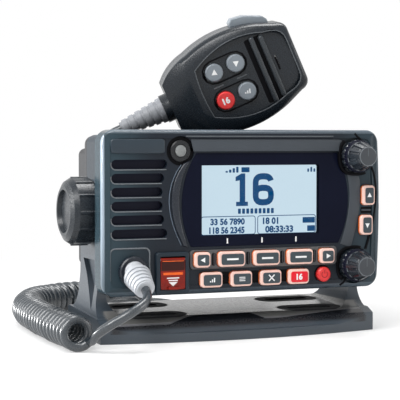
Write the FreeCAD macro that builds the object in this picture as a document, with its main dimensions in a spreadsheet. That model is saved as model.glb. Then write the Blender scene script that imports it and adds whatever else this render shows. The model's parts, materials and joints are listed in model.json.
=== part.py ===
"""A compact fixed-mount VHF marine radio on its gimbal bracket, with its fist microphone.

Millimetres, +Z up, +X to the right seen from the front, +Y into the radio's depth.  The
origin is the centre of the bracket's four screw slots, on the surface it is screwed to.

The parts are modelled in three frames, and each part's Placement carries it to its frame:
  bracket     the origin above
  radio       centre of the front panel's face; the panel looks along -Y
  microphone  middle of the neck's end, on the plane of the front rim; x runs from the neck
              to the top, y into the depth, z towards the talk key
"""
import FreeCAD, Part
import math
import os
import re
import Sketcher
from FreeCAD import Placement, Rotation, Vector

DOC = FreeCAD.newDocument("marine_radio")

# Every size of the model, in millimetres and degrees.  Formulas in the parts use these names,
# and a size in quotes is itself a formula that follows other sizes.
SIZES = {
    # fits
    "face_gap": 0.1,            # between faces that lie on each other
    "run_gap": 0.05,            # radial, round a turning shaft
    "key_gap": 0.35,            # all round a key in its hole
    # where the radio hangs in the bracket
    "axis_high": 66.0,          # tilt axis over the mounting surface
    "axis_back": 31.0,          # tilt axis behind the panel's face
    # front panel
    "panel_wide": 156.0,
    "panel_tall": 84.0,
    "panel_round": 7.0,
    "panel_bulge": 1.0,         # how far the right side bows out
    "panel_deep": 11.0,
    "front_wall": 3.4,
    "side_wall": 1.6,
    "edge_round": 1.2,
    "border": 4.5,              # flat rim round the sunk field
    "field_deep": 0.5,
    # middle housing, sleeve and flange
    "house_wide": "panel_wide - 19",
    "house_top": "panel_tall / 2 - 2.5",
    "house_low": "panel_tall / 2 - 4",
    "house_back": 56.0,
    "house_wall": 3.0,
    "house_round": 5.0,
    "flange_thick": 1.4,
    "gasket_thick": 1.0,
    # rear chassis
    "chassis_wide": "house_wide - 17",
    "chassis_top": "house_top - 7.5",
    "chassis_low": "house_low - 4",
    "chassis_back": 97.0,
    "chassis_flange": 3.0,
    "chassis_wall": 3.5,
    "fin_pitch": 6.0,
    "fin_slot": 3.2,
    "fin_deep": 9.0,
    "case_screw": 1.5,          # radius
    "case_screw_x": "house_wide / 2 - 5.3",
    "case_screw_z": "house_low - 10",
    # speaker grille and speaker
    "grille_left": "-panel_wide / 2 + 5.3",
    "grille_right": "-panel_wide / 2 + 35",
    "grille_waist": 2.6,        # how far the middle slots stop short of the outer ones
    "slot_tall": 4.7,
    "slot_pitch": 7.0,
    "slot_top": 24.5,           # middle of the highest slot
    "slot_count": 6.0,
    "speaker_x": "-panel_wide / 2 + 27",
    "speaker_z": 5.0,
    "speaker_r": 17.0,
    "speaker_deep": 15.0,
    # display
    "lens_thick": 1.6,
    "lens_sunk": 0.4,
    "lens_top": "panel_tall / 2 - 12",
    "lens_low": "upper_row + 6.55",
    "lens_mid": "(lens_top + lens_low) / 2 + 0.45",
    "lens_left_top": "lens_left_mid + 8",
    "lens_left_mid": "grille_right + 8",
    "lens_left_low": "lens_left_mid + 5",
    "lens_right_top": "lens_right_mid - 7",
    "lens_right_mid": "up_key_x - 11.6",
    "lens_right_low": "lens_right_mid - 5.8",
    "screen_x": "(lens_left_mid + lens_right_mid) / 2 - 3.5",
    "screen_z": "(lens_top + lens_low) / 2 - 0.35",
    "screen_wide": "lens_right_mid - lens_left_mid - 28.8",
    "screen_tall": "lens_top - lens_low - 11.9",
    "screen_rim": 3.0,
    "screen_thick": 4.2,
    # circuit board behind the panel
    "board_thick": 1.6,
    "board_left": "guard_right + 1.7",
    "board_right": "panel_wide / 2 - 2.5",
    "board_top": "panel_tall / 2 - 5",
    "board_low": "-panel_tall / 2 + 2.5",
    "pad_thick": 1.0,           # silicone sheet under the keys
    # keys
    "key_proud": 2.3,
    "key_travel": 1.0,
    "key_lip": 0.7,
    "lip_thick": 1.0,
    "key_round": 1.9,
    "key_tall": 7.9,
    "upper_row": "-panel_tall / 2 + 17.55",
    "lower_row": "-panel_tall / 2 + 7.05",
    "arrow_wide": "(bar_right - bar_left) * 0.105",
    "soft_wide": "(bar_right - bar_left) * 0.178",
    "lower_wide": "(on_off_x - power_key_x) * 0.188",
    "left_key_x": "bar_left + (bar_right - bar_left) * 0.0727",
    "soft_1_x": "bar_left + (bar_right - bar_left) * 0.267",
    "soft_2_x": "bar_left + (bar_right - bar_left) * 0.5018",
    "soft_3_x": "bar_left + (bar_right - bar_left) * 0.7318",
    "right_key_x": "bar_right - (bar_right - bar_left) * 0.0787",
    "power_key_x": "guard_right + 12.3",
    "menu_key_x": "power_key_x + (on_off_x - power_key_x) * 0.259",
    "clear_key_x": "power_key_x + (on_off_x - power_key_x) * 0.519",
    "channel_key_x": "power_key_x + (on_off_x - power_key_x) * 0.769",
    "on_off_x": "squelch_x - 18.5",
    "on_off_z": "lower_row + 0.65",
    "on_off_r": 3.9,
    "side_key_wide": 7.4,
    "side_key_tall": 10.6,
    "up_key_x": "panel_wide / 2 - 6.4",
    "up_key_z": 7.2,
    "down_key_x": "up_key_x - 1.2",
    "down_key_z": -8.7,
    "bar_left": "guard_right + 0.8",          # raised bar round the upper row
    "bar_right": "squelch_x - 10.5",
    "bar_tall": 9.8,
    "bar_proud": 0.5,
    "bar_deep": 1.5,
    # rotary knobs
    "volume_x": "panel_wide / 2 - 14",
    "volume_z": "panel_tall / 2 - 14",
    "squelch_x": "volume_x - 0.5",
    "squelch_z": "-panel_tall / 2 + 12",
    "knob_recess": 10.0,
    "recess_deep": 2.1,
    "skirt_r": 8.65,
    "skirt_long": 5.0,
    "cap_r": 5.45,
    "knob_long": 15.0,
    "knob_flutes": 18.0,
    "flute_r": 0.8,
    "knob_shaft": 3.0,
    "bushing_r": 3.9,
    "pot_wide": 12.0,
    # emergency button under its hinged cover
    "guard_left": "collar_x + 11.9",
    "guard_right": "guard_left + 17.9",
    "guard_top": "guard_low + 21.3",
    "guard_low": "-panel_tall / 2 + 0.6",
    "guard_proud": 1.6,
    "guard_rim": 2.1,
    "guard_step": 1.2,          # the cup behind the panel is this much smaller
    "guard_deep": 8.0,
    "guard_round": 1.6,
    "cover_thick": 1.8,
    "cover_pin": 0.6,
    "cover_drop": 3.75,          # hinge line under the guard's top edge
    "cover_barrel": 1.0,
    "alarm_inset": 2.2,
    "alarm_travel": 1.5,
    # small round plug beside the display
    "plug_x": "lens_left_top - 8.7",
    "plug_z": "panel_tall / 2 - 10.8",
    "plug_recess": 7.6,
    "plug_r": 5.4,
    "plug_dome": 3.05,
    # microphone cord's swivel boot
    "collar_x": "-panel_wide / 2 + 16.5",
    "collar_z": "-panel_tall / 2 + 12.6",
    "collar_r": 7.8,
    "collar_proud": 3.0,
    "collar_hole": 6.6,
    "boot_ball": 5.6,
    "boot_out": 1.8,            # ball's middle in front of the panel
    "boot_flare": 7.0,
    "boot_end": 4.9,
    "boot_long": 18.0,
    "boot_droop": 24.0,
    "boot_rings": 5.0,
    # rear sockets
    "antenna_x": "chassis_wide / 2 - 18",
    "antenna_z": 6.0,
    "antenna_r": 7.94,
    "antenna_long": 11.0,
    "antenna_seat": 11.5,
    "inlet_x": "18 - chassis_wide / 2",
    "inlet_z": -8.0,
    "inlet_r": 8.5,
    "inlet_long": 7.0,
    # bracket
    "base_front": 36.0,
    "base_corner": 27.0,        # the front edge lies further back at its corners
    "base_rear": 35.0,
    "base_half": "house_wide / 2 + 9",
    "base_edge": 4.6,
    "base_crown": 12.0,
    "base_round": 6.0,
    "base_back_crown": 14.5,
    "arm_gap": 1.6,             # radio's side to arm
    "arm_thick": 4.0,
    "arm_r": 16.4,
    "arm_front": 13.0,
    "arm_rear": 18.0,
    "arm_blend": 13.0,
    "arm_pocket": 2.4,
    "slot_x": 45.0,
    "slot_y": 14.5,
    "slot_long": 26.0,
    "slot_r": 2.75,
    "washer_thick": 1.4,
    "washer_r": 14.0,
    # gimbal knobs
    "grip_r": 17.2,
    "grip_long": 14.5,
    "grip_ridges": 12.0,
    "stud_r": 3.0,
    "stud_reach": 9.0,          # into the radio's side
    # microphone
    "mic_x": -21.1,
    "mic_y": 60.3,
    "mic_over": 12.65,           # neck's height over the middle housing
    "mic_yaw": -18.2,
    "mic_pitch": -24.2,
    "mic_roll": 8.0,
    "mic_long": 80.0,
    "mic_half": 27.7,
    "mic_split": 12.5,
    "mic_thick": 27.0,
    "mic_neck": 8.0,
    "mic_round": 2.6,
    "mic_wall": 4.0,
    "mic_recess": 2.2,
    "mic_key_r": 5.0,
    "mic_key_near": 33.0,
    "mic_key_far": 46.0,
    "mic_key_up": 8.7,
    "mic_key_down": -8.1,
    "mic_cavity": 15.5,         # half height of the hollow
    "mic_rear_round": 5.0,
    "talk_left": 51.8,
    "talk_right": 72.3,
    "talk_proud": 4.4,
    "talk_thick": 9.0,
    "talk_travel": 1.8,
    "mic_boot_long": 26.0,
    "mic_boot_r": 7.2,
    "hang_r": 7.5,
    "hang_x": 46.0,
    "mic_screw_x": 27.0,
    "mic_screw_z": 18.6,
    # cord
    "cord_r": 2.3,
    "coil_r": 9.0,
}

SHEET = DOC.addObject("Spreadsheet::Sheet", "dims")
for row, alias in enumerate(SIZES, start=1):
    SHEET.set(f"A{row}", alias)
    SHEET.setAlias(f"B{row}", alias)
for row, size in enumerate(SIZES.values(), start=1):
    SHEET.set(f"B{row}", f"={size}")
DOC.recompute()

PARTS = []
PLANES = {"front": "XZ_Plane", "side": "YZ_Plane", "top": "XY_Plane"}


# ---------------------------------------------------------------- formulas and placements

def formula(text):
    """A formula in sheet names, such as 'panel_wide / 2', as an expression of the document."""
    return re.sub(r"\b([a-z][a-z_0-9]*)\b(?!\s*\()", r"dims.\1", str(text))


def value(text):
    """The number that a formula gives now."""
    return float(SHEET.evalExpression(formula(text)))


def bind(thing, path, text):
    """Bind one property of an object to a formula."""
    thing.setExpression(path, formula(text))


def place(thing, x="0", y="0", z="0", yaw="0", pitch="0", roll="0"):
    """Bind an object's Placement to formulas."""
    for path, text in (("Rotation.Yaw", yaw), ("Rotation.Pitch", pitch), ("Rotation.Roll", roll),
                       ("Base.x", x), ("Base.y", y), ("Base.z", z)):
        bind(thing, f"Placement.{path}", text)


def new_body(name):
    """A part design body that becomes one part of the model."""
    body = DOC.addObject("PartDesign::Body", name)
    body.Label = name
    PARTS.append(body)
    return body


def bracket_body(name):
    """A body in the bracket's frame."""
    return new_body(name)


def radio_body(name, x="0", y="0", z="0", pitch="0", roll="0"):
    """A body in the radio's frame, moved to a point of it."""
    body = new_body(name)
    place(body, x, f"{y} - axis_back", f"{z} + axis_high", pitch=pitch, roll=roll)
    return body


def mic_frame():
    """The formulas that place a part of the microphone."""
    return {"x": "mic_x", "y": "mic_y - axis_back", "z": "house_top + mic_over + axis_high",
            "yaw": "mic_yaw", "pitch": "mic_pitch", "roll": "mic_roll"}


def mic_body(name):
    """A body in the microphone's frame."""
    body = new_body(name)
    place(body, **mic_frame())
    return body


# ---------------------------------------------------------------- sketches

def new_sketch(body, name, plane, at):
    """A sketch on one of the body's origin planes, moved along that plane's own axis."""
    sketch = body.newObject("Sketcher::SketchObject", name)
    origin = [each for each in body.Origin.OriginFeatures if each.Role == PLANES[plane]][0]
    sketch.AttachmentSupport = [(origin, "")]
    sketch.MapMode = "FlatFace"
    sign = "-" if plane == "front" else ""
    bind(sketch, "AttachmentOffset.Base.z", f"{sign}({at})")
    return sketch


def tied(index, spot, x, y):
    """The rules that bind one point of a sketch to two formulas from the sketch's origin."""
    return [(Sketcher.Constraint("DistanceX", -1, 1, index, spot, value(x)), x),
            (Sketcher.Constraint("DistanceY", -1, 1, index, spot, value(y)), y)]


def write_rules(sketch, rules):
    """Add (constraint, formula) pairs to a sketch in one go."""
    numbers = sketch.addConstraint([rule for rule, _ in rules])
    for number, (_, text) in zip(numbers, rules):
        if text is not None:
            bind(sketch, f"Constraints[{number}]", text)


class Outline:
    """A closed outline of lines and arcs, each of its points bound to formulas."""

    def __init__(self, sketch, x, y):
        self.sketch = sketch
        self.points = [(x, y)]
        self.middles = []
        self.rules = []

    def line(self, x, y):
        """A straight edge to a point."""
        self.middles.append(None)
        self.points.append((x, y))
        return self

    def arc(self, middle_x, middle_y, x, y):
        """An arc through a middle point to a point."""
        self.middles.append((middle_x, middle_y))
        self.points.append((x, y))
        return self

    def edge(self, start, end, middle):
        """Draw one edge, and give its index and the names of its two ends."""
        sketch = self.sketch
        if middle is None:
            index = sketch.addGeometry(Part.LineSegment(start, end), False)
            return index, 1, 2
        through = Vector(value(middle[0]), value(middle[1]), 0)
        index = sketch.addGeometry(Part.Arc(start, through, end), False)
        pin = sketch.addGeometry(Part.Point(through), True)
        self.rules.append((Sketcher.Constraint("PointOnObject", pin, 1, index), None))
        self.rules += tied(pin, 1, *middle)
        forward = sketch.getPoint(index, 1).distanceToPoint(start) < 1e-6
        return (index, 1, 2) if forward else (index, 2, 1)

    def close(self, middle=None):
        """Join the last point to the first, straight or through a middle point."""
        self.middles.append(middle)
        count = len(self.points)
        spots = [Vector(value(x), value(y), 0) for x, y in self.points]
        edges = [self.edge(spots[i], spots[(i + 1) % count], self.middles[i])
                 for i in range(count)]
        for i, (x, y) in enumerate(self.points):
            index, start, _ = edges[i]
            before, _, end = edges[i - 1]
            joined = Sketcher.Constraint("Coincident", before, end, index, start)
            self.rules.append((joined, None))
            self.rules += tied(index, start, x, y)
        write_rules(self.sketch, self.rules)


def polygon(sketch, *points):
    """A closed outline of straight edges."""
    outline = Outline(sketch, *points[0])
    for point in points[1:]:
        outline.line(*point)
    outline.close()


def rounded(sketch, x0, x1, y0, y1, radius):
    """A rectangle with round corners."""
    cut = f"({radius}) * (1 - sqrt(0.5))"
    outline = Outline(sketch, f"{x0} + {radius}", y0)
    outline.line(f"{x1} - ({radius})", y0)
    outline.arc(f"{x1} - {cut}", f"{y0} + {cut}", x1, f"{y0} + {radius}")
    outline.line(x1, f"{y1} - ({radius})")
    outline.arc(f"{x1} - {cut}", f"{y1} - {cut}", f"{x1} - ({radius})", y1)
    outline.line(f"{x0} + {radius}", y1)
    outline.arc(f"{x0} + {cut}", f"{y1} - {cut}", x0, f"{y1} - ({radius})")
    outline.line(x0, f"{y0} + {radius}")
    outline.close((f"{x0} + {cut}", f"{y0} + {cut}"))


def centred(sketch, x, y, wide, tall, radius):
    """A rectangle with round corners, given by its middle and its size."""
    rounded(sketch, f"{x} - ({wide}) / 2", f"{x} + ({wide}) / 2",
            f"{y} - ({tall}) / 2", f"{y} + ({tall}) / 2", radius)


def stadium(sketch, x0, x1, y, half):
    """A slot with round ends that runs along x."""
    outline = Outline(sketch, f"{x0} + {half}", f"{y} - ({half})")
    outline.line(f"{x1} - ({half})", f"{y} - ({half})")
    outline.arc(x1, y, f"{x1} - ({half})", f"{y} + {half}")
    outline.line(f"{x0} + {half}", f"{y} + {half}")
    outline.close((x0, y))


def stadiums(sketch, *slots):
    """Several slots with round ends."""
    for slot in slots:
        stadium(sketch, *slot)


def circle(sketch, x, y, radius):
    """A full circle."""
    centre = Vector(value(x), value(y), 0)
    index = sketch.addGeometry(Part.Circle(centre, Vector(0, 0, 1), value(radius)), False)
    size = (Sketcher.Constraint("Radius", index, value(radius)), radius)
    write_rules(sketch, tied(index, 3, x, y) + [size])


def circles(sketch, radius, *spots):
    """Several circles of one radius."""
    for x, y in spots:
        circle(sketch, x, y, radius)


def ring(sketch, x, y, outer, inner):
    """Two circles round one middle."""
    circle(sketch, x, y, outer)
    circle(sketch, x, y, inner)


# ---------------------------------------------------------------- features

def add(body, name, plane, low, high, draw, *sizes):
    """Add a slab that fills an outline from low to high along the plane's axis."""
    sketch = new_sketch(body, f"{name}_outline", plane, low)
    draw(sketch, *sizes)
    feature = body.newObject("PartDesign::Pad", name)
    feature.Profile = sketch
    feature.Reversed = plane == "front"
    bind(feature, "Length", f"{high} - ({low})")
    return feature


def cut(body, name, plane, low, high, draw, *sizes):
    """Take away a slab that fills an outline from low to high along the plane's axis."""
    sketch = new_sketch(body, f"{name}_outline", plane, low)
    draw(sketch, *sizes)
    feature = body.newObject("PartDesign::Pocket", name)
    feature.Profile = sketch
    feature.Reversed = plane != "front"
    bind(feature, "Length", f"{high} - ({low})")
    return feature


def turn(body, name, plane, at, *points, kind="PartDesign::Revolution"):
    """Turn an outline of (along, radius) points round the sketch's horizontal axis."""
    sketch = new_sketch(body, f"{name}_outline", plane, at)
    polygon(sketch, *points)
    feature = body.newObject(kind, name)
    feature.Profile = sketch
    feature.ReferenceAxis = (sketch, ["H_Axis"])
    feature.Angle = 360
    return feature


def repeat_round(body, name, feature, axis, count):
    """Repeat a feature round one of the body's axes."""
    pattern = body.newObject("PartDesign::PolarPattern", name)
    pattern.Originals = [feature]
    origin = [each for each in body.Origin.OriginFeatures if each.Role == axis][0]
    pattern.Axis = (origin, [""])
    pattern.Angle = 360
    bind(pattern, "Occurrences", count)
    body.Tip = pattern
    return pattern


def repeat_along(body, name, feature, axis, length, count):
    """Repeat a feature along one of the body's axes."""
    pattern = body.newObject("PartDesign::LinearPattern", name)
    pattern.Originals = [feature]
    origin = [each for each in body.Origin.OriginFeatures if each.Role == axis][0]
    pattern.Direction = (origin, [""])
    bind(pattern, "Length", length)
    bind(pattern, "Occurrences", count)
    body.Tip = pattern
    return pattern


def soften(body, name, radius, test, kind="PartDesign::Fillet"):
    """Round, or chamfer, the edges of the body that pass a test."""
    DOC.recompute()
    base = body.Tip
    chosen = [f"Edge{i + 1}" for i, edge in enumerate(base.Shape.Edges) if test(edge)]
    feature = body.newObject(kind, name)
    feature.Base = (base, chosen)
    bind(feature, "Radius" if kind.endswith("Fillet") else "Size", radius)
    return feature


def on_level(axis, text):
    """A test for edges that lie wholly at one level of an axis."""
    level = value(text)

    def test(edge):
        box = edge.BoundBox
        low = getattr(box, f"{axis.upper()}Min")
        high = getattr(box, f"{axis.upper()}Max")
        return abs(low - level) < 1e-4 and abs(high - level) < 1e-4
    return test


def outside(test, half_x, half_z):
    """Narrow a test to edges that reach the outer border of a panel."""
    def narrowed(edge):
        box = edge.BoundBox
        wide = max(abs(box.XMin), abs(box.XMax)) > half_x
        tall = max(abs(box.ZMin), abs(box.ZMax)) > half_z
        return test(edge) and (wide or tall)
    return narrowed


# ---------------------------------------------------------------- bracket

def base_plan(sketch):
    """The bracket's base seen from above: a bowed front edge and round rear corners."""
    near = "base_round * (1 - sqrt(0.5))"
    outline = Outline(sketch, "-base_half", "-base_corner")
    outline.arc("0", "-base_front", "base_half", "-base_corner")
    outline.line("base_half", "base_rear - base_round")
    outline.arc(f"base_half - {near}", f"base_rear - {near}",
                "base_half - base_round", "base_rear")
    outline.line("-base_half + base_round", "base_rear")
    outline.arc(f"-base_half + {near}", f"base_rear - {near}",
                "-base_half", "base_rear - base_round")
    outline.close()


def over_base(sketch):
    """What lies over the base's sloped apron and crown, seen from the side."""
    polygon(sketch, ("-base_front - 1", "base_edge"), ("-base_front + 4.5", "base_edge"),
            ("-base_front + 9.5", "base_crown - 2.4"), ("-base_front + 15", "base_crown"),
            ("base_rear - 8", "base_back_crown"), ("base_rear - 2.5", "base_back_crown - 1.5"),
            ("base_rear + 1", "base_edge + 3"), ("base_rear + 1", "base_back_crown + 5"),
            ("-base_front - 1", "base_back_crown + 5"))


def arm_front(sketch, side):
    """One arm and its round blend into the base, seen from the front."""
    inner = "(house_wide / 2 + arm_gap)"
    outer = "(house_wide / 2 + arm_gap + arm_thick)"
    low = "(base_crown - 1)"
    outline = Outline(sketch, f"{side} * (base_half - 1)", "2")
    outline.line(f"{side} * (base_half - 1)", "base_crown")
    outline.arc(f"{side} * ({outer} + 1.2)", "axis_high * 0.32", f"{side} * {outer}",
                "axis_high * 0.5")
    outline.line(f"{side} * {outer}", "axis_high + arm_r + 2")
    outline.line(f"{side} * {inner}", "axis_high + arm_r + 2")
    outline.line(f"{side} * {inner}", f"{low} + arm_blend")
    outline.arc(f"{side} * ({inner} - arm_blend * (1 - sqrt(0.5)))",
                f"{low} + arm_blend * (1 - sqrt(0.5))",
                f"{side} * ({inner} - arm_blend)", low)
    outline.line(f"{side} * ({inner} - arm_blend)", "2")
    outline.close()


def around_arms(sketch):
    """All that lies round the arms seen from the side: a frame with their outline in it."""
    outline = Outline(sketch, "-base_front + 15", "-1")
    outline.line("-base_front + 15", "base_crown - 0.5")
    outline.arc("-arm_front - 2.6", "base_crown + 3", "-arm_front", "base_crown + 10")
    outline.line("-arm_r", "axis_high - 12")
    outline.line("-arm_r", "axis_high")
    outline.arc("0", "axis_high + arm_r", "arm_r", "axis_high")
    outline.line("arm_rear", "base_back_crown + 12")
    outline.arc("arm_rear + 1.6", "base_back_crown + 4", "base_rear - 7",
                "base_back_crown - 0.5")
    outline.line("base_rear - 7", "-1")
    outline.close()
    polygon(sketch, ("-base_front - 9", "-9"), ("base_rear + 9", "-9"),
            ("base_rear + 9", "axis_high * 2"), ("-base_front - 9", "axis_high * 2"))


def make_base():
    """The base: crowned top, sloped apron, four screw slots and a ribbed underside."""
    base = DOC.addObject("PartDesign::Body", "bracket_base")
    add(base, "plate", "top", "0", "base_back_crown + 1", base_plan)
    cut(base, "crown", "side", "-base_half - 5", "base_half + 5", over_base)
    cut(base, "slots", "top", "-1", "base_back_crown + 2", stadiums,
        *[(f"{x} * slot_x - slot_long / 2", f"{x} * slot_x + slot_long / 2",
           f"{y} * slot_y", "slot_r") for x in (-1, 1) for y in (-1, 1)])
    cut(base, "middle_hollow", "top", "-1", "base_crown - 3.5", centred,
        "0", "-2.5", "slot_x * 1.1", "slot_y * 3.3", "4")
    for side in (-1, 1):
        cut(base, f"side_hollow_{side + 2}", "top", "-1", "base_crown - 3.5", centred,
            f"{side} * slot_x", "0", "slot_long * 0.95", "slot_y * 2 - slot_r * 2 - 8", "3")
    return base


def make_arms():
    """Both arms, with their round tops, stud holes and pocketed outer faces."""
    arms = DOC.addObject("PartDesign::Body", "bracket_arms")
    outer = "(house_wide / 2 + arm_gap + arm_thick)"
    for side, name in ((-1, "left"), (1, "right")):
        add(arms, f"{name}_arm", "front", "-base_front", "base_rear", arm_front, str(side))
    cut(arms, "arm_form", "side", "-base_half - 5", "base_half + 5", around_arms)
    cut(arms, "stud_hole", "side", "-base_half - 5", "base_half + 5", circle,
        "0", "axis_high", "stud_r + 0.3")
    pocket = [("-arm_front + 3", "axis_high * 0.62"), ("arm_front - 1", "axis_high * 0.62"),
              ("-arm_front + 6.5", "base_crown + 3")]
    cut(arms, "right_pocket", "side", f"{outer} - arm_pocket", "base_half + 5",
        polygon, *pocket)
    cut(arms, "left_pocket", "side", "-base_half - 5", f"-{outer} + arm_pocket",
        polygon, *pocket)
    return arms


def make_bracket():
    """The moulded bracket: base and arms in one piece, and the arms' rubber washers."""
    bracket = DOC.addObject("Part::MultiFuse", "bracket")
    bracket.Label = "bracket"
    bracket.Shapes = [make_base(), make_arms()]
    PARTS.append(bracket)
    washers = new_body("arm_washers")
    inner = "(house_wide / 2 + arm_gap - face_gap)"
    for side, name in ((-1, "left"), (1, "right")):
        low, high = f"{inner} - washer_thick", inner
        if side < 0:
            low, high = f"-{inner}", f"-{inner} + washer_thick"
        add(washers, f"{name}_washer", "side", low, high, ring,
            "0", "axis_high", "washer_r", "stud_r + 0.3")


def make_gimbal_knob(name, side):
    """A big side knob: ridged grip, dished outer face, and its threaded stud."""
    body = new_body(name)
    yaw = "0" if side > 0 else "180"
    seat = "(house_wide / 2 + arm_gap + arm_thick + face_gap)"
    place(body, "0", "0", "axis_high", yaw=yaw)
    end = f"{seat} + grip_long"
    turn(body, "grip", "front", "0",
         (f"{seat}", "0"), (f"{seat}", "grip_r - 1.2"), (f"{seat} + 1.2", "grip_r"),
         (f"{end} - 4", "grip_r"), (f"{end} - 1.5", "grip_r - 1.6"), (end, "grip_r - 4.5"),
         (end, "grip_r - 6"), (f"{end} - 2.2", "grip_r - 6.8"), (f"{end} - 1.4", "0"))
    ridge = add(body, "ridge", "side", f"{seat} + 1.5", f"{end} - 4", circle,
                "0", "grip_r - 0.35", "1")
    repeat_round(body, "ridges", ridge, "X_Axis", "grip_ridges")
    add(body, "stud", "side", "house_wide / 2 - stud_reach", f"{seat} + 1", circle,
        "0", "0", "stud_r")


# ---------------------------------------------------------------- radio housing

def panel_outline(sketch, inset="0"):
    """The front panel's outline: round corners and a slightly bowed right side."""
    half = f"(panel_wide / 2 - ({inset}))"
    tall = f"(panel_tall / 2 - ({inset}))"
    turn_r = f"(panel_round - ({inset}) / 2)"
    near = f"({turn_r} * (1 - sqrt(0.5)))"
    outline = Outline(sketch, f"-{half} + {turn_r}", f"-{tall}")
    outline.line(f"{half} - {turn_r}", f"-{tall}")
    outline.arc(f"{half} - {near}", f"-{tall} + {near}", half, f"-{tall} + {turn_r}")
    outline.arc(f"{half} + panel_bulge", "0", half, f"{tall} - {turn_r}")
    outline.arc(f"{half} - {near}", f"{tall} - {near}", f"{half} - {turn_r}", tall)
    outline.line(f"-{half} + {turn_r}", tall)
    outline.arc(f"-{half} + {near}", f"{tall} - {near}", f"-{half}", f"{tall} - {turn_r}")
    outline.line(f"-{half}", f"-{tall} + {turn_r}")
    outline.close((f"-{half} + {near}", f"-{tall} + {near}"))


def lens_outline(sketch, grow="0"):
    """The display window's outline, with bowed sides."""
    outline = Outline(sketch, f"lens_left_low - ({grow})", f"lens_low - ({grow})")
    outline.line(f"lens_right_low + {grow}", f"lens_low - ({grow})")
    outline.arc(f"lens_right_mid + {grow}", "lens_mid", f"lens_right_top + {grow}",
                f"lens_top + {grow}")
    outline.line(f"lens_left_top - ({grow})", f"lens_top + {grow}")
    outline.close((f"lens_left_mid - ({grow})", "lens_mid"))


FRONT_KEYS = {      # name: (x, z, width, height, in the raised bar)
    "key_left": ("left_key_x", "upper_row", "arrow_wide", "key_tall", True),
    "key_soft_1": ("soft_1_x", "upper_row", "soft_wide", "key_tall", True),
    "key_soft_2": ("soft_2_x", "upper_row", "soft_wide", "key_tall", True),
    "key_soft_3": ("soft_3_x", "upper_row", "soft_wide", "key_tall", True),
    "key_right": ("right_key_x", "upper_row", "arrow_wide", "key_tall", True),
    "key_power_level": ("power_key_x", "lower_row", "lower_wide", "key_tall", False),
    "key_menu": ("menu_key_x", "lower_row", "lower_wide", "key_tall", False),
    "key_clear": ("clear_key_x", "lower_row", "lower_wide", "key_tall", False),
    "key_channel": ("channel_key_x", "lower_row", "lower_wide", "key_tall", False),
    "key_up": ("up_key_x", "up_key_z", "side_key_wide", "side_key_tall", False),
    "key_down": ("down_key_x", "down_key_z", "side_key_wide", "side_key_tall", False),
}


def cut_grille(panel):
    """The speaker's slots; their right ends follow the display's bowed side."""
    middle = (int(value("slot_count")) - 1) / 2
    for i in range(int(value("slot_count"))):
        bow = round(1 - ((i - middle) / middle) ** 2, 3)
        cut(panel, f"grille_slot_{i + 1}", "front", "-1", "front_wall + 1", stadium,
            "grille_left", f"grille_right - grille_waist * {bow}",
            f"slot_top - slot_pitch * {i}", "slot_tall / 2")


def cut_key_holes(panel):
    """A hole for each key that passes through the front wall."""
    for name, (x, z, wide, tall, _) in FRONT_KEYS.items():
        cut(panel, f"{name}_hole", "front", "-1", "front_wall + 1", centred, x, z,
            f"{wide} + key_gap * 2", f"{tall} + key_gap * 2", "key_round + key_gap")


def guard_outline(sketch, inset="0", radius="guard_round"):
    """The outline of the emergency button's guard."""
    rounded(sketch, f"guard_left + {inset}", f"guard_right - ({inset})",
            f"guard_low + {inset}", f"guard_top - ({inset})", radius)


def make_front_panel():
    """The front panel: grille, window seat, key holes, knob recesses and an open back."""
    panel = radio_body("front_panel")
    add(panel, "shell", "front", "0", "panel_deep", panel_outline)
    soften(panel, "front_edge", "edge_round", on_level("y", "0"))
    cut(panel, "hollow", "front", "front_wall", "panel_deep + 1", panel_outline, "side_wall")
    cut(panel, "field", "front", "-1", "field_deep", panel_outline, "border")
    cut(panel, "lens_seat", "front", "-1", "lens_sunk + lens_thick + face_gap",
        lens_outline, "face_gap")
    cut(panel, "screen_hole", "front", "0", "front_wall + 1", centred,
        "screen_x", "screen_z", "screen_wide", "screen_tall", "1")
    cut_grille(panel)
    cut(panel, "bar_seat", "front", "-1", "bar_deep + face_gap", rounded,
        "bar_left - face_gap", "bar_right + face_gap",
        "upper_row - bar_tall / 2 - face_gap", "upper_row + bar_tall / 2 + face_gap", "2")
    cut_key_holes(panel)
    cut(panel, "on_off_hole", "front", "-1", "front_wall + 1", circle,
        "on_off_x", "on_off_z", "on_off_r + key_gap")
    for knob in ("volume", "squelch"):
        cut(panel, f"{knob}_recess", "front", "-1", "recess_deep", circle,
            f"{knob}_x", f"{knob}_z", "knob_recess")
        cut(panel, f"{knob}_hole", "front", "-1", "front_wall + 1", circle,
            f"{knob}_x", f"{knob}_z", "bushing_r + face_gap")
    cut(panel, "guard_seat", "front", "-1", "field_deep", guard_outline, "-face_gap")
    cut(panel, "guard_hole", "front", "-1", "front_wall + 1", guard_outline,
        "guard_step - face_gap")
    cut(panel, "collar_hole", "front", "-1", "front_wall + 1", circle,
        "collar_x", "collar_z", "collar_hole + face_gap")
    cut(panel, "plug_recess", "front", "-1", "field_deep + 0.8", circle,
        "plug_x", "plug_z", "plug_recess")
    cut(panel, "plug_hole", "front", "-1", "front_wall + 1", circle,
        "plug_x", "plug_z", "plug_dome + face_gap")


def house_outline(sketch, inset="0"):
    """The middle housing's sleeve seen from the front."""
    rounded(sketch, f"-house_wide / 2 + {inset}", f"house_wide / 2 - ({inset})",
            f"-house_low + {inset}", f"house_top - ({inset})", f"house_round - ({inset}) / 2")


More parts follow.
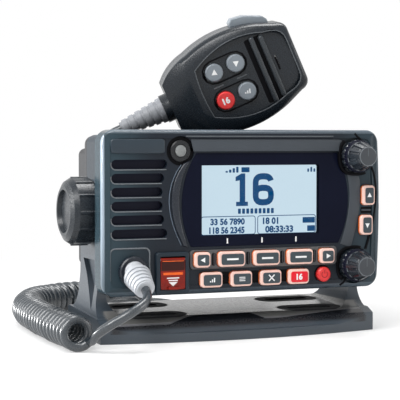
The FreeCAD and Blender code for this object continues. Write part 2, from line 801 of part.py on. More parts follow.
def make_house():
    """The middle housing: a flange let into the panel's back, and a sleeve behind it."""
    house = radio_body("middle_housing")
    add(house, "flange", "front", "panel_deep - flange_thick", "panel_deep", panel_outline,
        "side_wall + face_gap")
    add(house, "sleeve", "front", "panel_deep", "house_back", house_outline)
    soften(house, "back_edge", "1.5", on_level("y", "house_back"))
    cut(house, "hollow", "front", "panel_deep - flange_thick - 1", "house_back + 1",
        house_outline, "house_wall")
    for side in (-1, 1):
        add(house, f"stud_boss_{side + 2}", "side",
            "house_wide / 2 - stud_reach - 3" if side > 0 else "-house_wide / 2 + 1",
            "house_wide / 2 - 1" if side > 0 else "-house_wide / 2 + stud_reach + 3",
            circle, "axis_back", "0", "stud_r + 4")
        cut(house, f"stud_bore_{side + 2}", "side",
            "house_wide / 2 - stud_reach - 1" if side > 0 else "-house_wide / 2 - 1",
            "house_wide / 2 + 1" if side > 0 else "-house_wide / 2 + stud_reach + 1",
            circle, "axis_back", "0", "stud_r + run_gap")
    bosses = [(f"{x} * case_screw_x", f"{z} * case_screw_z") for x in (-1, 1) for z in (-1, 1)]
    add(house, "screw_bosses", "front", "house_back - 14", "house_back", circles,
        "case_screw + 2.2", *bosses)
    cut(house, "screw_holes", "front", "house_back - 11", "house_back + 1", circles,
        "case_screw", *bosses)


def make_chassis():
    """The die-cast rear chassis: flange, box, cooling slots in its back, socket seats."""
    start = "house_back + gasket_thick + face_gap * 2"
    gasket = radio_body("chassis_gasket")
    add(gasket, "seal", "front", "house_back + face_gap", "house_back + face_gap + gasket_thick",
        house_outline, "0.6")
    cut(gasket, "middle", "front", "house_back - 1", "house_back + gasket_thick + 1",
        centred, "0", "0", "case_screw_x * 2 - case_screw * 2 - 4",
        "chassis_top * 2 - 4", "4")
    screws = [(f"{x} * case_screw_x", f"{z} * case_screw_z") for x in (-1, 1) for z in (-1, 1)]
    cut(gasket, "screw_holes", "front", "house_back - 1", "house_back + gasket_thick + 1",
        circles, "case_screw + face_gap", *screws)

    chassis = radio_body("rear_chassis")
    add(chassis, "flange", "front", start, f"{start} + chassis_flange", house_outline, "0.6")
    add(chassis, "box", "front", f"{start} + 1", "chassis_back", rounded,
        "-chassis_wide / 2", "chassis_wide / 2", "-chassis_low", "chassis_top", "4")
    cut(chassis, "hollow", "front", f"{start} - 1", "chassis_back - fin_deep - chassis_wall",
        rounded, "-chassis_wide / 2 + chassis_wall", "chassis_wide / 2 - chassis_wall",
        "-chassis_low + chassis_wall", "chassis_top - chassis_wall", "3")
    cut(chassis, "screw_holes", "front", "house_back", f"{start} + chassis_flange + 1",
        circles, "case_screw + face_gap", *screws)
    slot = cut(chassis, "fin_slot", "front", "chassis_back - fin_deep", "chassis_back + 1",
               rounded, "-fin_pitch * 4 - fin_slot / 2", "-fin_pitch * 4 + fin_slot / 2",
               "-chassis_low + 4", "chassis_top - 4", "1.2")
    repeat_along(chassis, "fin_slots", slot, "X_Axis", "fin_pitch * 8", "9")
    rib = add(chassis, "roof_rib", "side", "-chassis_wide / 2 + 16", "-chassis_wide / 2 + 18",
              rounded, f"{start} + 1", "chassis_back - 4", "chassis_top - 2",
              "chassis_top + 1.6", "0.8")
    repeat_along(chassis, "roof_ribs", rib, "X_Axis", "chassis_wide - 34", "8")
    cut(chassis, "antenna_hole", "front", "chassis_back - 6", "chassis_back + 1", circle,
        "antenna_x", "antenna_z", "antenna_r + face_gap")
    cut(chassis, "inlet_hole", "front", "chassis_back - 6", "chassis_back + 1", circle,
        "inlet_x", "inlet_z", "inlet_r - 1.5 + face_gap")


def make_case_screws():
    """Four screws that hold the chassis's flange to the middle housing."""
    screws = radio_body("case_screws")
    spots = [(f"{x} * case_screw_x", f"{z} * case_screw_z") for x in (-1, 1) for z in (-1, 1)]
    seat = "house_back + gasket_thick + face_gap * 3 + chassis_flange"
    add(screws, "heads", "front", seat, f"{seat} + 2", circles, "case_screw + 1.3", *spots)
    add(screws, "shanks", "front", "house_back - 10", f"{seat} + 0.5", circles,
        "case_screw - face_gap / 2", *spots)


def make_rear_sockets():
    """The antenna socket and the sealed inlet for the supply leads."""
    socket = radio_body("antenna_socket", "antenna_x", "chassis_back", "antenna_z")
    end = "2.1 + antenna_long"
    turn(socket, "shell", "side", "0",
         ("-5.8", "0"), ("-5.8", "antenna_r"), ("0.1", "antenna_r"), ("0.1", "antenna_seat"),
         ("2.1", "antenna_seat"), ("2.1", "antenna_r"), (end, "antenna_r"),
         (end, "antenna_r - 1.2"), (f"{end} - 4", "antenna_r - 1.2"), (f"{end} - 4", "2.4"),
         (f"{end} - 9", "2.4"), (f"{end} - 9", "0"))
    inlet = radio_body("cable_inlet", "inlet_x", "chassis_back", "inlet_z")
    turn(inlet, "grommet", "side", "0",
         ("-5.8", "0"), ("-5.8", "inlet_r - 1.5"), ("0.1", "inlet_r - 1.5"),
         ("0.1", "inlet_r"), ("3", "inlet_r"), ("3.6", "inlet_r - 0.6"),
         ("inlet_long", "inlet_r - 2.4"), ("inlet_long", "0"))


# ---------------------------------------------------------------- behind the front panel

BOARD_FRONT = "(panel_deep - flange_thick - face_gap - board_thick)"
PAD_FRONT = f"({BOARD_FRONT} - face_gap - pad_thick)"


def make_display():
    """The display window and the liquid crystal module behind it."""
    lens = radio_body("display_lens")
    add(lens, "pane", "front", "lens_sunk", "lens_sunk + lens_thick", lens_outline)
    module = radio_body("lcd_module")
    add(module, "glass", "front", "front_wall + face_gap",
        "front_wall + face_gap + screen_thick", centred, "screen_x", "screen_z",
        "screen_wide + screen_rim * 2", "screen_tall + screen_rim * 2", "1")


def make_board():
    """The circuit board on the flange, and the silicone sheet under the keys."""
    board = radio_body("main_board")
    add(board, "laminate", "front", BOARD_FRONT, f"{BOARD_FRONT} + board_thick", rounded,
        "board_left", "board_right", "board_low", "board_top", "6")
    sheet = radio_body("key_sheet")
    under_screen = "screen_z - screen_tall / 2 - screen_rim - 0.4"
    add(sheet, "sheet", "front", PAD_FRONT, f"{PAD_FRONT} + pad_thick", polygon,
        ("board_left + 0.5", "board_low + 0.3"), ("squelch_x - 7", "board_low + 0.3"),
        ("squelch_x - 7", "squelch_z + 7.5"), ("board_right - 0.3", "squelch_z + 7.5"),
        ("board_right - 0.3", "up_key_z + 6.5"), ("down_key_x - 3.8", "up_key_z + 6.5"),
        ("down_key_x - 3.8", under_screen), ("board_left + 0.5", under_screen))


def make_speaker():
    """The round loudspeaker behind the grille: rim, basket, magnet and dished cone."""
    speaker = radio_body("speaker", "speaker_x", "front_wall + face_gap", "speaker_z")
    turn(speaker, "basket", "side", "0",
         ("4", "0"), ("0.8", "speaker_r - 2.4"), ("0", "speaker_r - 2"), ("0", "speaker_r"),
         ("2.5", "speaker_r"), ("2.5", "speaker_r - 2.6"), ("9", "speaker_r / 2"),
         ("speaker_deep", "speaker_r / 2"), ("speaker_deep", "0"))


# ---------------------------------------------------------------- keys and knobs

def key_cap(body, x, z, wide, tall, front, radius):
    """A rectangular key: soft-edged cap, retaining lip behind the wall, and a stem."""
    lip = "front_wall + face_gap"
    add(body, "cap", "front", front, f"{lip} + 0.1", centred, x, z, wide, tall, radius)
    soften(body, "cap_edge", "0.7", on_level("y", front))
    add(body, "lip", "front", lip, f"{lip} + lip_thick", centred, x, z,
        f"{wide} + (key_gap + key_lip) * 2", f"{tall} + (key_gap + key_lip) * 2", radius)
    add(body, "stem", "front", f"{lip} + lip_thick", f"{PAD_FRONT} - key_travel - 0.2",
        centred, x, z, f"{wide} * 0.6", f"{tall} * 0.6", "1")


def make_front_keys():
    """The eleven rectangular keys, the round on-off key, and the bar round the upper row."""
    bar = radio_body("softkey_bar")
    add(bar, "plate", "front", "-bar_proud", "bar_deep", rounded, "bar_left", "bar_right",
        "upper_row - bar_tall / 2", "upper_row + bar_tall / 2", "2")
    soften(bar, "plate_edge", "0.4", on_level("y", "-bar_proud"))
    for name, (x, z, wide, tall, in_bar) in FRONT_KEYS.items():
        if in_bar:
            cut(bar, f"{name}_hole", "front", "-bar_proud - 1", "bar_deep + 1", centred,
                x, z, f"{wide} + key_gap * 2", f"{tall} + key_gap * 2",
                "key_round + key_gap")
        key = radio_body(name)
        front = "-key_proud - bar_proud" if in_bar else "-key_proud + field_deep"
        key_cap(key, x, z, wide, tall, front, "key_round")
    key = radio_body("key_on_off", "on_off_x", "0", "on_off_z")
    lip = "front_wall + face_gap"
    turn(key, "cap", "side", "0",
         ("-key_proud", "0"), ("-key_proud", "on_off_r - 0.8"),
         ("-key_proud + 0.8", "on_off_r"), (lip, "on_off_r"),
         (lip, "on_off_r + key_gap + key_lip - 0.3"),
         (f"{lip} + lip_thick", "on_off_r + key_gap + key_lip - 0.3"),
         (f"{lip} + lip_thick", "on_off_r * 0.6"),
         (f"{PAD_FRONT} - key_travel - 0.2", "on_off_r * 0.6"),
         (f"{PAD_FRONT} - key_travel - 0.2", "0"))


def make_rotary(name):
    """A rotary control: fluted knob, its shaft, and the fixed part with the bushing."""
    spot = (f"{name}_x", "0", f"{name}_z")
    back = "(recess_deep - 0.4)"
    tip = f"({back} - knob_long)"
    knob = radio_body(f"{name}_knob", *spot)
    turn(knob, "form", "side", "0",
         (back, "0"), (back, "skirt_r - 0.4"), (f"{back} - 0.4", "skirt_r"),
         (f"{back} - skirt_long", "skirt_r"), (f"{back} - skirt_long - 1", "skirt_r - 0.9"),
         (f"{back} - skirt_long - 2.6", "cap_r + 0.6"), (f"{tip} + 0.7", "cap_r"),
         (tip, "cap_r - 0.7"), (tip, "0"))
    flute = cut(knob, "flute", "front", f"{back} - skirt_long - 0.6", f"{back} + 1", circle,
                "0", "skirt_r + flute_r * 0.4", "flute_r")
    repeat_round(knob, "flutes", flute, "Y_Axis", "knob_flutes")
    groove = cut(knob, "cap_groove", "front", f"{tip} - 1", f"{tip} + 6", circle,
                 "0", "cap_r + flute_r * 0.5", "flute_r")
    repeat_round(knob, "cap_grooves", groove, "Y_Axis", "knob_flutes / 2")
    cut(knob, "pointer", "front", f"{tip} - 1", f"{tip} + 0.5", rounded,
        "-0.4", "0.4", "0.6", "cap_r - 0.9", "0.3")
    cut(knob, "bore", "front", f"{back} - 9", f"{back} + 1", circle,
        "0", "0", "knob_shaft + run_gap")
    shaft = radio_body(f"{name}_shaft", *spot)
    add(shaft, "rod", "front", f"{back} - 8.9", f"{BOARD_FRONT} - 1.9", circle,
        "0", "0", "knob_shaft")
    control = radio_body(f"{name}_control", *spot)
    add(control, "can", "front", "front_wall + face_gap", f"{BOARD_FRONT} - face_gap",
        centred, "0", "0", "pot_wide", "pot_wide", "1")
    add(control, "bushing", "front", "recess_deep - 0.1", "front_wall + 1", circle,
        "0", "0", "bushing_r")
    cut(control, "bore", "front", "-1", f"{BOARD_FRONT} - 1.8", circle,
        "0", "0", "knob_shaft + run_gap")


# ---------------------------------------------------------------- emergency button

def make_alarm():
    """The emergency button in its cup, under a hinged cover with a pull lip."""
    hinge_z = "(guard_top - cover_drop)"
    hinge_y = "(0.9 - guard_proud)"
    guard = radio_body("alarm_guard")
    add(guard, "rim", "front", "-guard_proud", "field_deep - face_gap", guard_outline)
    soften(guard, "rim_edge", "0.6", on_level("y", "-guard_proud"))
    add(guard, "cup", "front", "0", "guard_deep", guard_outline, "guard_step")
    cut(guard, "inside", "front", "-guard_proud - 1", "guard_deep - 1.5", guard_outline,
        "guard_rim", "guard_round / 4")
    cut(guard, "pin_bore", "side", "guard_left + 0.8", "guard_right - 0.8", circle,
        hinge_y, hinge_z, "cover_pin + run_gap")

    pin = radio_body("alarm_pin")
    add(pin, "pin", "side", "guard_left + 0.9", "guard_right - 0.9", circle,
        hinge_y, hinge_z, "cover_pin")

    cover = radio_body("alarm_cover")
    left, right = "(guard_left + guard_rim + 0.3)", "(guard_right - guard_rim - 0.3)"
    low = "(guard_low + guard_rim + 0.3)"
    add(cover, "flap", "front", f"{hinge_y} - 0.9", f"{hinge_y} - 0.9 + cover_thick",
        rounded, left, right, low, f"{hinge_z} + 0.3", "0.8")
    add(cover, "barrel", "side", left, right, circle, hinge_y, hinge_z, "cover_barrel")
    add(cover, "pull_lip", "front", f"{hinge_y} - 2.2", f"{hinge_y} - 0.8", rounded,
        f"({left} + {right}) / 2 - 3", f"({left} + {right}) / 2 + 3", low, f"{low} + 1.4",
        "0.4")
    cut(cover, "bore", "side", f"{left} - 1", f"{right} + 1", circle, hinge_y, hinge_z,
        "cover_pin + run_gap")

    button = radio_body("alarm_button")
    add(button, "cap", "front", "0.8", "guard_deep - 1.5 - alarm_travel - 0.3", rounded,
        f"{left} + 0.4", f"{right} - 0.4", f"{low} + 0.4", f"{hinge_z} - 2", "1")
    soften(button, "cap_edge", "0.5", on_level("y", "0.8"))


# ---------------------------------------------------------------- plug, collar and boot

def make_plug():
    """The small domed plug beside the display."""
    plug = radio_body("blank_plug", "plug_x", "field_deep + 0.8", "plug_z")
    turn(plug, "form", "side", "0",
         ("3", "0"), ("3", "plug_dome"), ("-0.1", "plug_dome"), ("-0.1", "plug_r"),
         ("-0.9", "plug_r"), ("-1.2", "plug_r - 0.4"), ("-1.2", "plug_dome + 0.4"),
         ("-0.9", "plug_dome"), ("-1.5", "plug_dome - 0.3"), ("-2", "plug_dome * 0.55"),
         ("-2.2", "0"))


def make_cord_exit():
    """The collar in the panel, and the ringed boot whose ball swivels in it."""
    collar = radio_body("cord_collar", "collar_x", "0", "collar_z")
    bore = "boot_ball + 0.15"
    turn(collar, "ring", "side", "0",
         ("-collar_proud", bore), ("-collar_proud", "collar_r - 0.6"),
         ("-collar_proud + 0.6", "collar_r"), ("field_deep - face_gap", "collar_r"),
         ("field_deep - face_gap", "collar_hole"), ("front_wall + 3", "collar_hole"),
         ("front_wall + 3", bore))
    boot = radio_body("cord_boot", "collar_x", "-boot_out", "collar_z", roll="boot_droop")
    sketch = new_sketch(boot, "form_outline", "side", "0")
    outline = Outline(sketch, "boot_ball", "0")
    outline.arc("boot_ball * sqrt(0.5)", "boot_ball * sqrt(0.5)", "0", "boot_ball")
    outline.line("-3.2", "boot_ball - 1")
    outline.line("-4.8", "boot_ball - 1")
    pitch = "((boot_long - 5) / boot_rings)"
    for i in range(int(value("boot_rings"))):
        start = f"-5 - {pitch} * {i}"
        radius = f"boot_flare + (boot_end - boot_flare) * {i} / boot_rings"
        outline.line(start, radius)
        outline.line(f"{start} - {pitch} * 0.62", f"{radius} - 0.2")
        outline.line(f"{start} - {pitch} * 0.66", f"{radius} - 0.9")
        outline.line(f"{start} - {pitch} * 0.94", f"{radius} - 1")
    outline.line("-boot_long", "boot_end - 1.4")
    outline.line("-boot_long", "0")
    outline.close()
    feature = boot.newObject("PartDesign::Revolution", "form")
    feature.Profile = sketch
    feature.ReferenceAxis = (sketch, ["H_Axis"])
    feature.Angle = 360


# ---------------------------------------------------------------- microphone

MIC_BACK = "(mic_split + face_gap)"


def mic_outline(sketch):
    """The microphone seen from its face: narrow neck, broad waist, flat top with corners."""
    outline = Outline(sketch, "0", "-mic_neck")
    outline.arc("mic_long * 0.08", "-mic_half * 0.58", "mic_long * 0.275",
                "-mic_half + 3.9")
    outline.arc("mic_long * 0.5", "-mic_half", "mic_long * 0.81", "-mic_half + 3.4")
    outline.line("mic_long - 5", "-mic_half + 7.6")
    outline.arc("mic_long - 1.3", "-mic_half + 9.6", "mic_long", "-mic_half + 13")
    outline.line("mic_long", "mic_half - 13")
    outline.arc("mic_long - 1.3", "mic_half - 9.6", "mic_long - 5", "mic_half - 7.6")
    outline.line("mic_long * 0.81", "mic_half - 3.4")
    outline.arc("mic_long * 0.5", "mic_half", "mic_long * 0.275", "mic_half - 3.9")
    outline.arc("mic_long * 0.08", "mic_half * 0.58", "0", "mic_neck")
    outline.close()


def mic_face(sketch):
    """The sunk face: narrow towards the neck, widest at the keys, rounded at the top."""
    outline = Outline(sketch, "mic_key_near - 9.5", "-mic_half + 13.7")
    outline.arc("mic_key_near + 12", "-mic_half + 6.2", "mic_long - 14", "-mic_half + 9.2")
    outline.arc("mic_long - 5", "-mic_half + 12.5", "mic_long - 3", "-mic_half + 18.5")
    outline.line("mic_long - 3", "mic_half - 18.5")
    outline.arc("mic_long - 5", "mic_half - 12.5", "mic_long - 14", "mic_half - 9.2")
    outline.arc("mic_key_near + 12", "mic_half - 6.2", "mic_key_near - 9.5",
                "mic_half - 13.7")
    outline.close(("mic_key_near - 10.7", "0"))


MIC_SCREWS = (("mic_screw_x", "mic_screw_z"), ("mic_screw_x", "-mic_screw_z"),
              ("mic_long - 18", "-mic_screw_z"))
MIC_KEYS = {"mic_key_up": ("mic_key_near", "mic_key_up"),
            "mic_key_down": ("mic_key_far", "mic_key_up"),
            "mic_key_channel": ("mic_key_near", "mic_key_down"),
            "mic_key_power": ("mic_key_far", "mic_key_down")}


def cut_neck_and_hollow(shell, low, high):
    """Round the neck, and cut the boot's bore, the hollow and the talk key's opening."""
    cut(shell, "boot_bore", "side", "-1", "6.5", circle, "mic_split", "0", "4.5")
    cut(shell, "hollow", "front", low, high, rounded, "12", "mic_long - 4.5",
        "-mic_cavity", "mic_cavity", "2")
    cut(shell, "talk_slot", "top", "mic_cavity - 1", "mic_half + 6", rounded,
        "talk_left - key_gap", "talk_right + key_gap",
        "mic_split - talk_thick / 2 - key_gap", "mic_split + talk_thick / 2 + key_gap", "1")


def make_mic_shells():
    """The two halves of the microphone's case."""
    front = mic_body("mic_front_shell")
    add(front, "form", "front", "0", "mic_split", mic_outline)
    cut(front, "neck_round", "side", "-1", "4", ring, "mic_split", "0", "mic_thick * 1.5",
        "mic_neck")
    cut(front, "neck_slope", "top", "-mic_half - 2", "mic_half + 2", polygon,
        ("-1", "-1"), ("mic_key_near - 14", "-1"), ("mic_key_near - 14", "0"),
        ("-1", "mic_split - mic_neck + 0.4"))
    rim = "mic_key_near - 14"
    soften(front, "rim_round", "mic_round",
           lambda edge: on_level("y", "0")(edge) and edge.BoundBox.XMax > value(rim) + 0.1)
    cut_neck_and_hollow(front, "mic_wall", "mic_split + 1")
    cut(front, "face", "front", "-1", "mic_recess", mic_face)
    cut(front, "key_field", "front", "0", "mic_recess + 0.6", stadiums,
        *[("mic_key_near - mic_key_r - 1.4", "mic_key_far + mic_key_r + 1.4", z,
           "mic_key_r + 1.4") for z in ("mic_key_up", "mic_key_down")])
    add(front, "ribs", "front", "mic_recess - 1.5", "mic_recess + 0.1", rounded,
        "mic_long - 21.5", "mic_long - 19.5", "-mic_half + 9", "mic_half - 9", "0.8")
    add(front, "second_rib", "front", "mic_recess - 1.5", "mic_recess + 0.1", rounded,
        "mic_long - 16.3", "mic_long - 14.3", "-mic_half + 9.6", "mic_half - 9.6", "0.8")
    cut(front, "voice_slit", "front", "0", "mic_wall + 1", rounded,
        "mic_long - 12.5", "mic_long - 11.6", "-3.5", "3.5", "0.4")
    cut(front, "key_holes", "front", "0", "mic_wall + 1", circles, "mic_key_r + key_gap",
        *MIC_KEYS.values())
    cut(front, "screw_holes", "front", "mic_split - 6", "mic_split + 1", circles, "1.2",
        *MIC_SCREWS)

    rear = mic_body("mic_rear_shell")
    add(rear, "form", "front", MIC_BACK, "mic_thick", mic_outline)
    soften(rear, "back_round", "mic_rear_round", on_level("y", "mic_thick"))
    cut(rear, "neck_round", "side", "-1", "4", ring, "mic_split", "0", "mic_thick * 1.5",
        "mic_neck")
    cut(rear, "neck_slope", "top", "-mic_half - 2", "mic_half + 2", polygon,
        ("-1", "mic_thick + 1"), ("mic_key_near - 4", "mic_thick + 1"),
        ("mic_key_near - 4", "mic_thick"), ("-1", "mic_split + mic_neck - 0.4"))
    cut_neck_and_hollow(rear, "mic_split - 1", "mic_thick - 2.5")
    cut(rear, "hang_hole", "front", "mic_split", "mic_thick + 1", circle, "hang_x", "0",
        "3.7")
    cut(rear, "screw_seats", "front", "mic_thick - 6", "mic_thick + 1", circles, "2.4",
        *MIC_SCREWS)
    cut(rear, "screw_holes", "front", "mic_split", "mic_thick - 5", circles, "1.3",
        *MIC_SCREWS)


def make_mic_parts():
    """Keys, talk key, board, voice capsule, screws, hang-up button and cord boot."""
    for name, (x, z) in MIC_KEYS.items():
        key = mic_body(name)
        add(key, "cap", "front", "mic_recess - 2.4", "mic_wall + face_gap + 0.1", circle,
            x, z, "mic_key_r")
        soften(key, "cap_edge", "0.8", on_level("y", "mic_recess - 2.4"))
        add(key, "lip", "front", "mic_wall + face_gap", "mic_wall + face_gap + 1", circle,
            x, z, "mic_key_r + key_gap + 0.7")
        add(key, "stem", "front", "mic_wall + face_gap + 1", "mic_split - 4.8", circle,
            x, z, "mic_key_r / 2")
    talk = mic_body("mic_talk_key")
    add(talk, "bar", "front", "mic_split - talk_thick / 2", "mic_split + talk_thick / 2",
        polygon, ("talk_left", "mic_cavity - 1.2"), ("talk_right", "mic_cavity - 1.2"),
        ("talk_right", "mic_half + talk_proud - 8.6"),
        ("talk_right - 1.8", "mic_half + talk_proud - 6.2"),
        ("talk_left + 9", "mic_half + talk_proud - 1.8"),
        ("talk_left + 2", "mic_half + talk_proud - 0.8"),
        ("talk_left", "mic_half + talk_proud - 2.6"))
    soften(talk, "bar_edge", "1", lambda edge: edge.BoundBox.ZMin > value("mic_half - 6")
           and edge.BoundBox.YLength < 0.01)
    add(talk, "lip", "top", "mic_cavity - 2", "mic_cavity - face_gap * 2", rounded,
        "talk_left - 1.4", "talk_right + 1.2", "mic_split - talk_thick / 2 - 1.4",
        "mic_split + talk_thick / 2 + 1.4", "1")
    board = mic_body("mic_board")
    add(board, "laminate", "front", "mic_split - 3.5", "mic_split - 2", rounded,
        "20", "mic_long - 4.8", "-mic_cavity + 0.2", "mic_cavity - talk_travel - 3", "2")
    capsule = mic_body("mic_capsule")
    add(capsule, "can", "front", "mic_wall + face_gap", "mic_split - 3.6", circle,
        "mic_long - 12", "0", "4.8")
    screws = mic_body("mic_screws")
    add(screws, "heads", "front", "mic_thick - 5.9", "mic_thick - 4.2", circles, "2.2",
        *MIC_SCREWS)
    add(screws, "shanks", "front", "mic_split - 5.5", "mic_thick - 5.5", circles, "1.15",
        *MIC_SCREWS)
    button = mic_body("mic_hang_button")
    turn(button, "stud", "side", "hang_x",
         ("mic_thick - 3.5", "0"), ("mic_thick - 3.5", "3.6"), ("mic_thick + 0.1", "3.6"),
         ("mic_thick + 0.1", "hang_r - 2"), ("mic_thick + 1", "hang_r - 2.6"),
         ("mic_thick + 3", "hang_r - 2.6"), ("mic_thick + 4", "hang_r"),
         ("mic_thick + 5.6", "hang_r"), ("mic_thick + 6.2", "hang_r - 0.8"),
         ("mic_thick + 6.2", "0"))
    boot = mic_body("mic_boot")
    points = [("6", "0"), ("6", "4.4"), ("-face_gap", "4.4"), ("-face_gap", "mic_boot_r")]
    for i in range(6):
        start = f"-face_gap - mic_boot_long / 6 * {i}"
        radius = f"mic_boot_r - (mic_boot_r - cord_r - 1.6) * {i} / 6"
        points += [(f"{start} - mic_boot_long * 0.1", f"{radius} - 0.1"),
                   (f"{start} - mic_boot_long * 0.11", f"{radius} - 1"),
                   (f"{start} - mic_boot_long * 0.155", f"{radius} - 1.1"),
                   (f"{start} - mic_boot_long * 0.165", f"{radius} - 0.6")]
    points += [("-face_gap - mic_boot_long", "cord_r + 0.9"), ("-face_gap - mic_boot_long", "0")]
    turn(boot, "form", "front", "mic_split", *points)


# ---------------------------------------------------------------- cord

def radio_point(x, y, z):
    """A point of the radio's frame in the bracket's frame."""
    return Vector(x, y - value("axis_back"), z + value("axis_high"))


def tube_along(name, route, radius):
    """A round tube on straight runs joined by arcs as large as the runs allow."""
    edges = []
    corners = []
    start = route[0]
    for before, corner, after in zip(route, route[1:], route[2:]):
        run_in, run_out = corner - before, after - corner
        half_turn = run_in.getAngle(run_out) / 2
        back = 0.45 * min(run_in.Length, run_out.Length)
        corners.append(back / math.tan(half_turn))
        enter = corner - run_in.normalize() * back
        leave = corner + run_out.normalize() * back
        to_middle = (run_out - run_in).normalize()
        middle = corner + to_middle * (corners[-1] * (1 / math.cos(half_turn) - 1))
        edges.append(Part.LineSegment(start, enter).toShape())
        edges.append(Part.Arc(enter, middle, leave).toShape())
        start = leave
    edges.append(Part.LineSegment(start, route[-1]).toShape())
    path = Part.Wire(edges)
    section = Part.Wire(Part.Circle(route[0], route[1] - route[0], radius).toShape())
    tube = DOC.addObject("Part::Feature", name)
    tube.Label = name
    tube.Shape = path.makePipeShell([section], True, False)
    PARTS.append(tube)
    expected = math.pi * radius ** 2 * path.Length
    print(f"{name}: length {path.Length:.1f}, smallest radius {min(corners):.1f}, "
          f"volume {tube.Shape.Volume / expected:.4f} of section times length")
    return tube


def make_cord():
    """The curly cord: lead from the boot, coil on the floor, tail over the chassis."""
    floor = value("cord_r - axis_high")
    droop = math.radians(value("boot_droop"))
    reach = value("boot_long")
    start = Vector(value("collar_x"), -value("boot_out") - reach * math.cos(droop),
                   value("collar_z") - reach * math.sin(droop))
    lead = [start + Vector(*step) for step in (
        (0, 0, 0), (0, -4.96, -2.21), (-5, -12.56, -5.48), (-13.5, -15.76, -9.48),
        (-22.1, -13.96, -14.28), (-27.7, -7.06, -19.78), (-28.73, 1.46, -23.24))]
    tube_along("cord_lead", [radio_point(*point) for point in lead], value("cord_r"))

    side, back = -value("base_half"), value("chassis_back")
    low = value("coil_r - axis_high")
    coil = [radio_point(x, y, low) for x, y in (
        (side - 17.5, -16), (side - 18.5, 14), (side - 18, 46), (side - 16.5, 78),
        (side - 10.5, back + 11), (side + 4.5, back + 35), (side + 27.5, back + 48),
        (side + 53.5, back + 52))]
    tube_along("cord_coil", coil, value("coil_r"))

    top = value("chassis_top + 1.9 + cord_r")
    tail = [radio_point(side + x, back + y, z) for x, y, z in (
        (53.85, 52.06, low), (65.5, 54, low - 1.5), (79, 53, floor + 1.5),
        (88.5, 44, floor + 0.4), (88.5, 30.5, floor + 0.4), (79.5, 21, floor + 1),
        (66.5, 18.3, floor + 4.2), (55, 18.3, floor + 12.2), (46.5, 18.3, floor + 23.7),
        (42, 18.3, floor + 38), (41, 18.2, floor + 53), (41.2, 18, floor + 68),
        (41, 17.7, top - 19))]
    tube_along("cord_tail", tail, value("cord_r"))

    frame = mic_frame()
    origin = Vector(*[value(frame[axis]) for axis in ("x", "y", "z")])
    mic = Placement(origin, Rotation(*[value(frame[turn_]) for turn_ in
                                       ("yaw", "pitch", "roll")]))
    tip, beyond = [mic.multVec(Vector(-value("mic_boot_long + face_gap") - out,
                                      value("mic_split"), 0)) for out in (0, 5.5)]
    over = [radio_point(side + x, back + y, z) for x, y, z in (
        (41, 17.7, top - 18.86), (40.2, 17.2, top - 4), (36, 8.5, top + 4.4),
        (32.5, -1.5, top + 2.8), (29.2, -10, top + 1.9))]
    tube_along("cord_top", over + [beyond, tip], value("cord_r"))


# ---------------------------------------------------------------- check and export

def check_and_export():
    """Check every object, then write each part to its own file."""
    DOC.recompute()
    for thing in DOC.Objects:
        if "Invalid" in thing.State or "Error" in thing.State:
            raise RuntimeError(f"{thing.Name} failed: {thing.State} {thing.getStatusString()}")
    for part in PARTS:
        if part.Shape.isNull() or not part.Shape.isValid() or part.Shape.Volume <= 0:
            raise RuntimeError(f"{part.Label} has no valid solid")
    os.makedirs("parts", exist_ok=True)
    for part in PARTS:
        part.Shape.exportStep(f"parts/{part.Label}.step")
        box = part.Shape.BoundBox
        print(f"{part.Label:20s} {len(part.Shape.Solids)} solid(s) {part.Shape.Volume:10.1f} mm3 "
              f"x {box.XMin:7.1f} {box.XMax:7.1f} y {box.YMin:7.1f} {box.YMax:7.1f} "
              f"z {box.ZMin:7.1f} {box.ZMax:7.1f}")


make_bracket()
make_gimbal_knob("gimbal_knob_left", -1)
make_gimbal_knob("gimbal_knob_right", 1)
make_front_panel()
make_house()
make_chassis()
make_case_screws()
make_rear_sockets()
make_display()
make_board()
make_speaker()
make_front_keys()
make_rotary("volume")
make_rotary("squelch")
make_alarm()
make_plug()
make_cord_exit()
make_mic_shells()
make_mic_parts()
make_cord()
check_and_export()
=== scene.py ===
"""Dresses the marine radio's frame: finishes, cords, display, key signs, light and camera."""
from __future__ import annotations

import json
import logging
import math
from dataclasses import dataclass
from enum import Enum
from typing import Callable, Sequence

import bpy
from mathutils import Euler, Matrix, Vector

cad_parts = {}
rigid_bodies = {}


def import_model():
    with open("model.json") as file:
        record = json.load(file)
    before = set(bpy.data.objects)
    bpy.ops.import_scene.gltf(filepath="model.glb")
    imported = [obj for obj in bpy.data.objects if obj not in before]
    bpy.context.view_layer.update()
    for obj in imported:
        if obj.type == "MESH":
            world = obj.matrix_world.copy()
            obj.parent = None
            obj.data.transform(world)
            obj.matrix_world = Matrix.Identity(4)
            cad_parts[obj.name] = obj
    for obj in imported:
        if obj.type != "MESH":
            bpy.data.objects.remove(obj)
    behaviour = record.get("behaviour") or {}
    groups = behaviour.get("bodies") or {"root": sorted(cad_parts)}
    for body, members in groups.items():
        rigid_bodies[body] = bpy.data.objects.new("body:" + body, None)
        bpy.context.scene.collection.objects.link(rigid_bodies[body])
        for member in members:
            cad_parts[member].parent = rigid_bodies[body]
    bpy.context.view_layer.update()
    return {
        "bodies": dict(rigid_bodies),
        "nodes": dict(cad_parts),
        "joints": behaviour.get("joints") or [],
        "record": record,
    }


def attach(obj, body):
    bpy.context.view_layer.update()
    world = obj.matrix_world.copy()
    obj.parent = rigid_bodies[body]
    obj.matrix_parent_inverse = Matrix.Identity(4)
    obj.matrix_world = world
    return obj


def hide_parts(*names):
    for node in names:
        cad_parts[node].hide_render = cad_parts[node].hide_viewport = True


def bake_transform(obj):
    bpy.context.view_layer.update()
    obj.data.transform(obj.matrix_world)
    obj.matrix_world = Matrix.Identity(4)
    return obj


Flat = tuple[float, float]  # across and up, or a low and a high value
Spot = tuple[float, float, float]
Rgb = tuple[float, float, float]
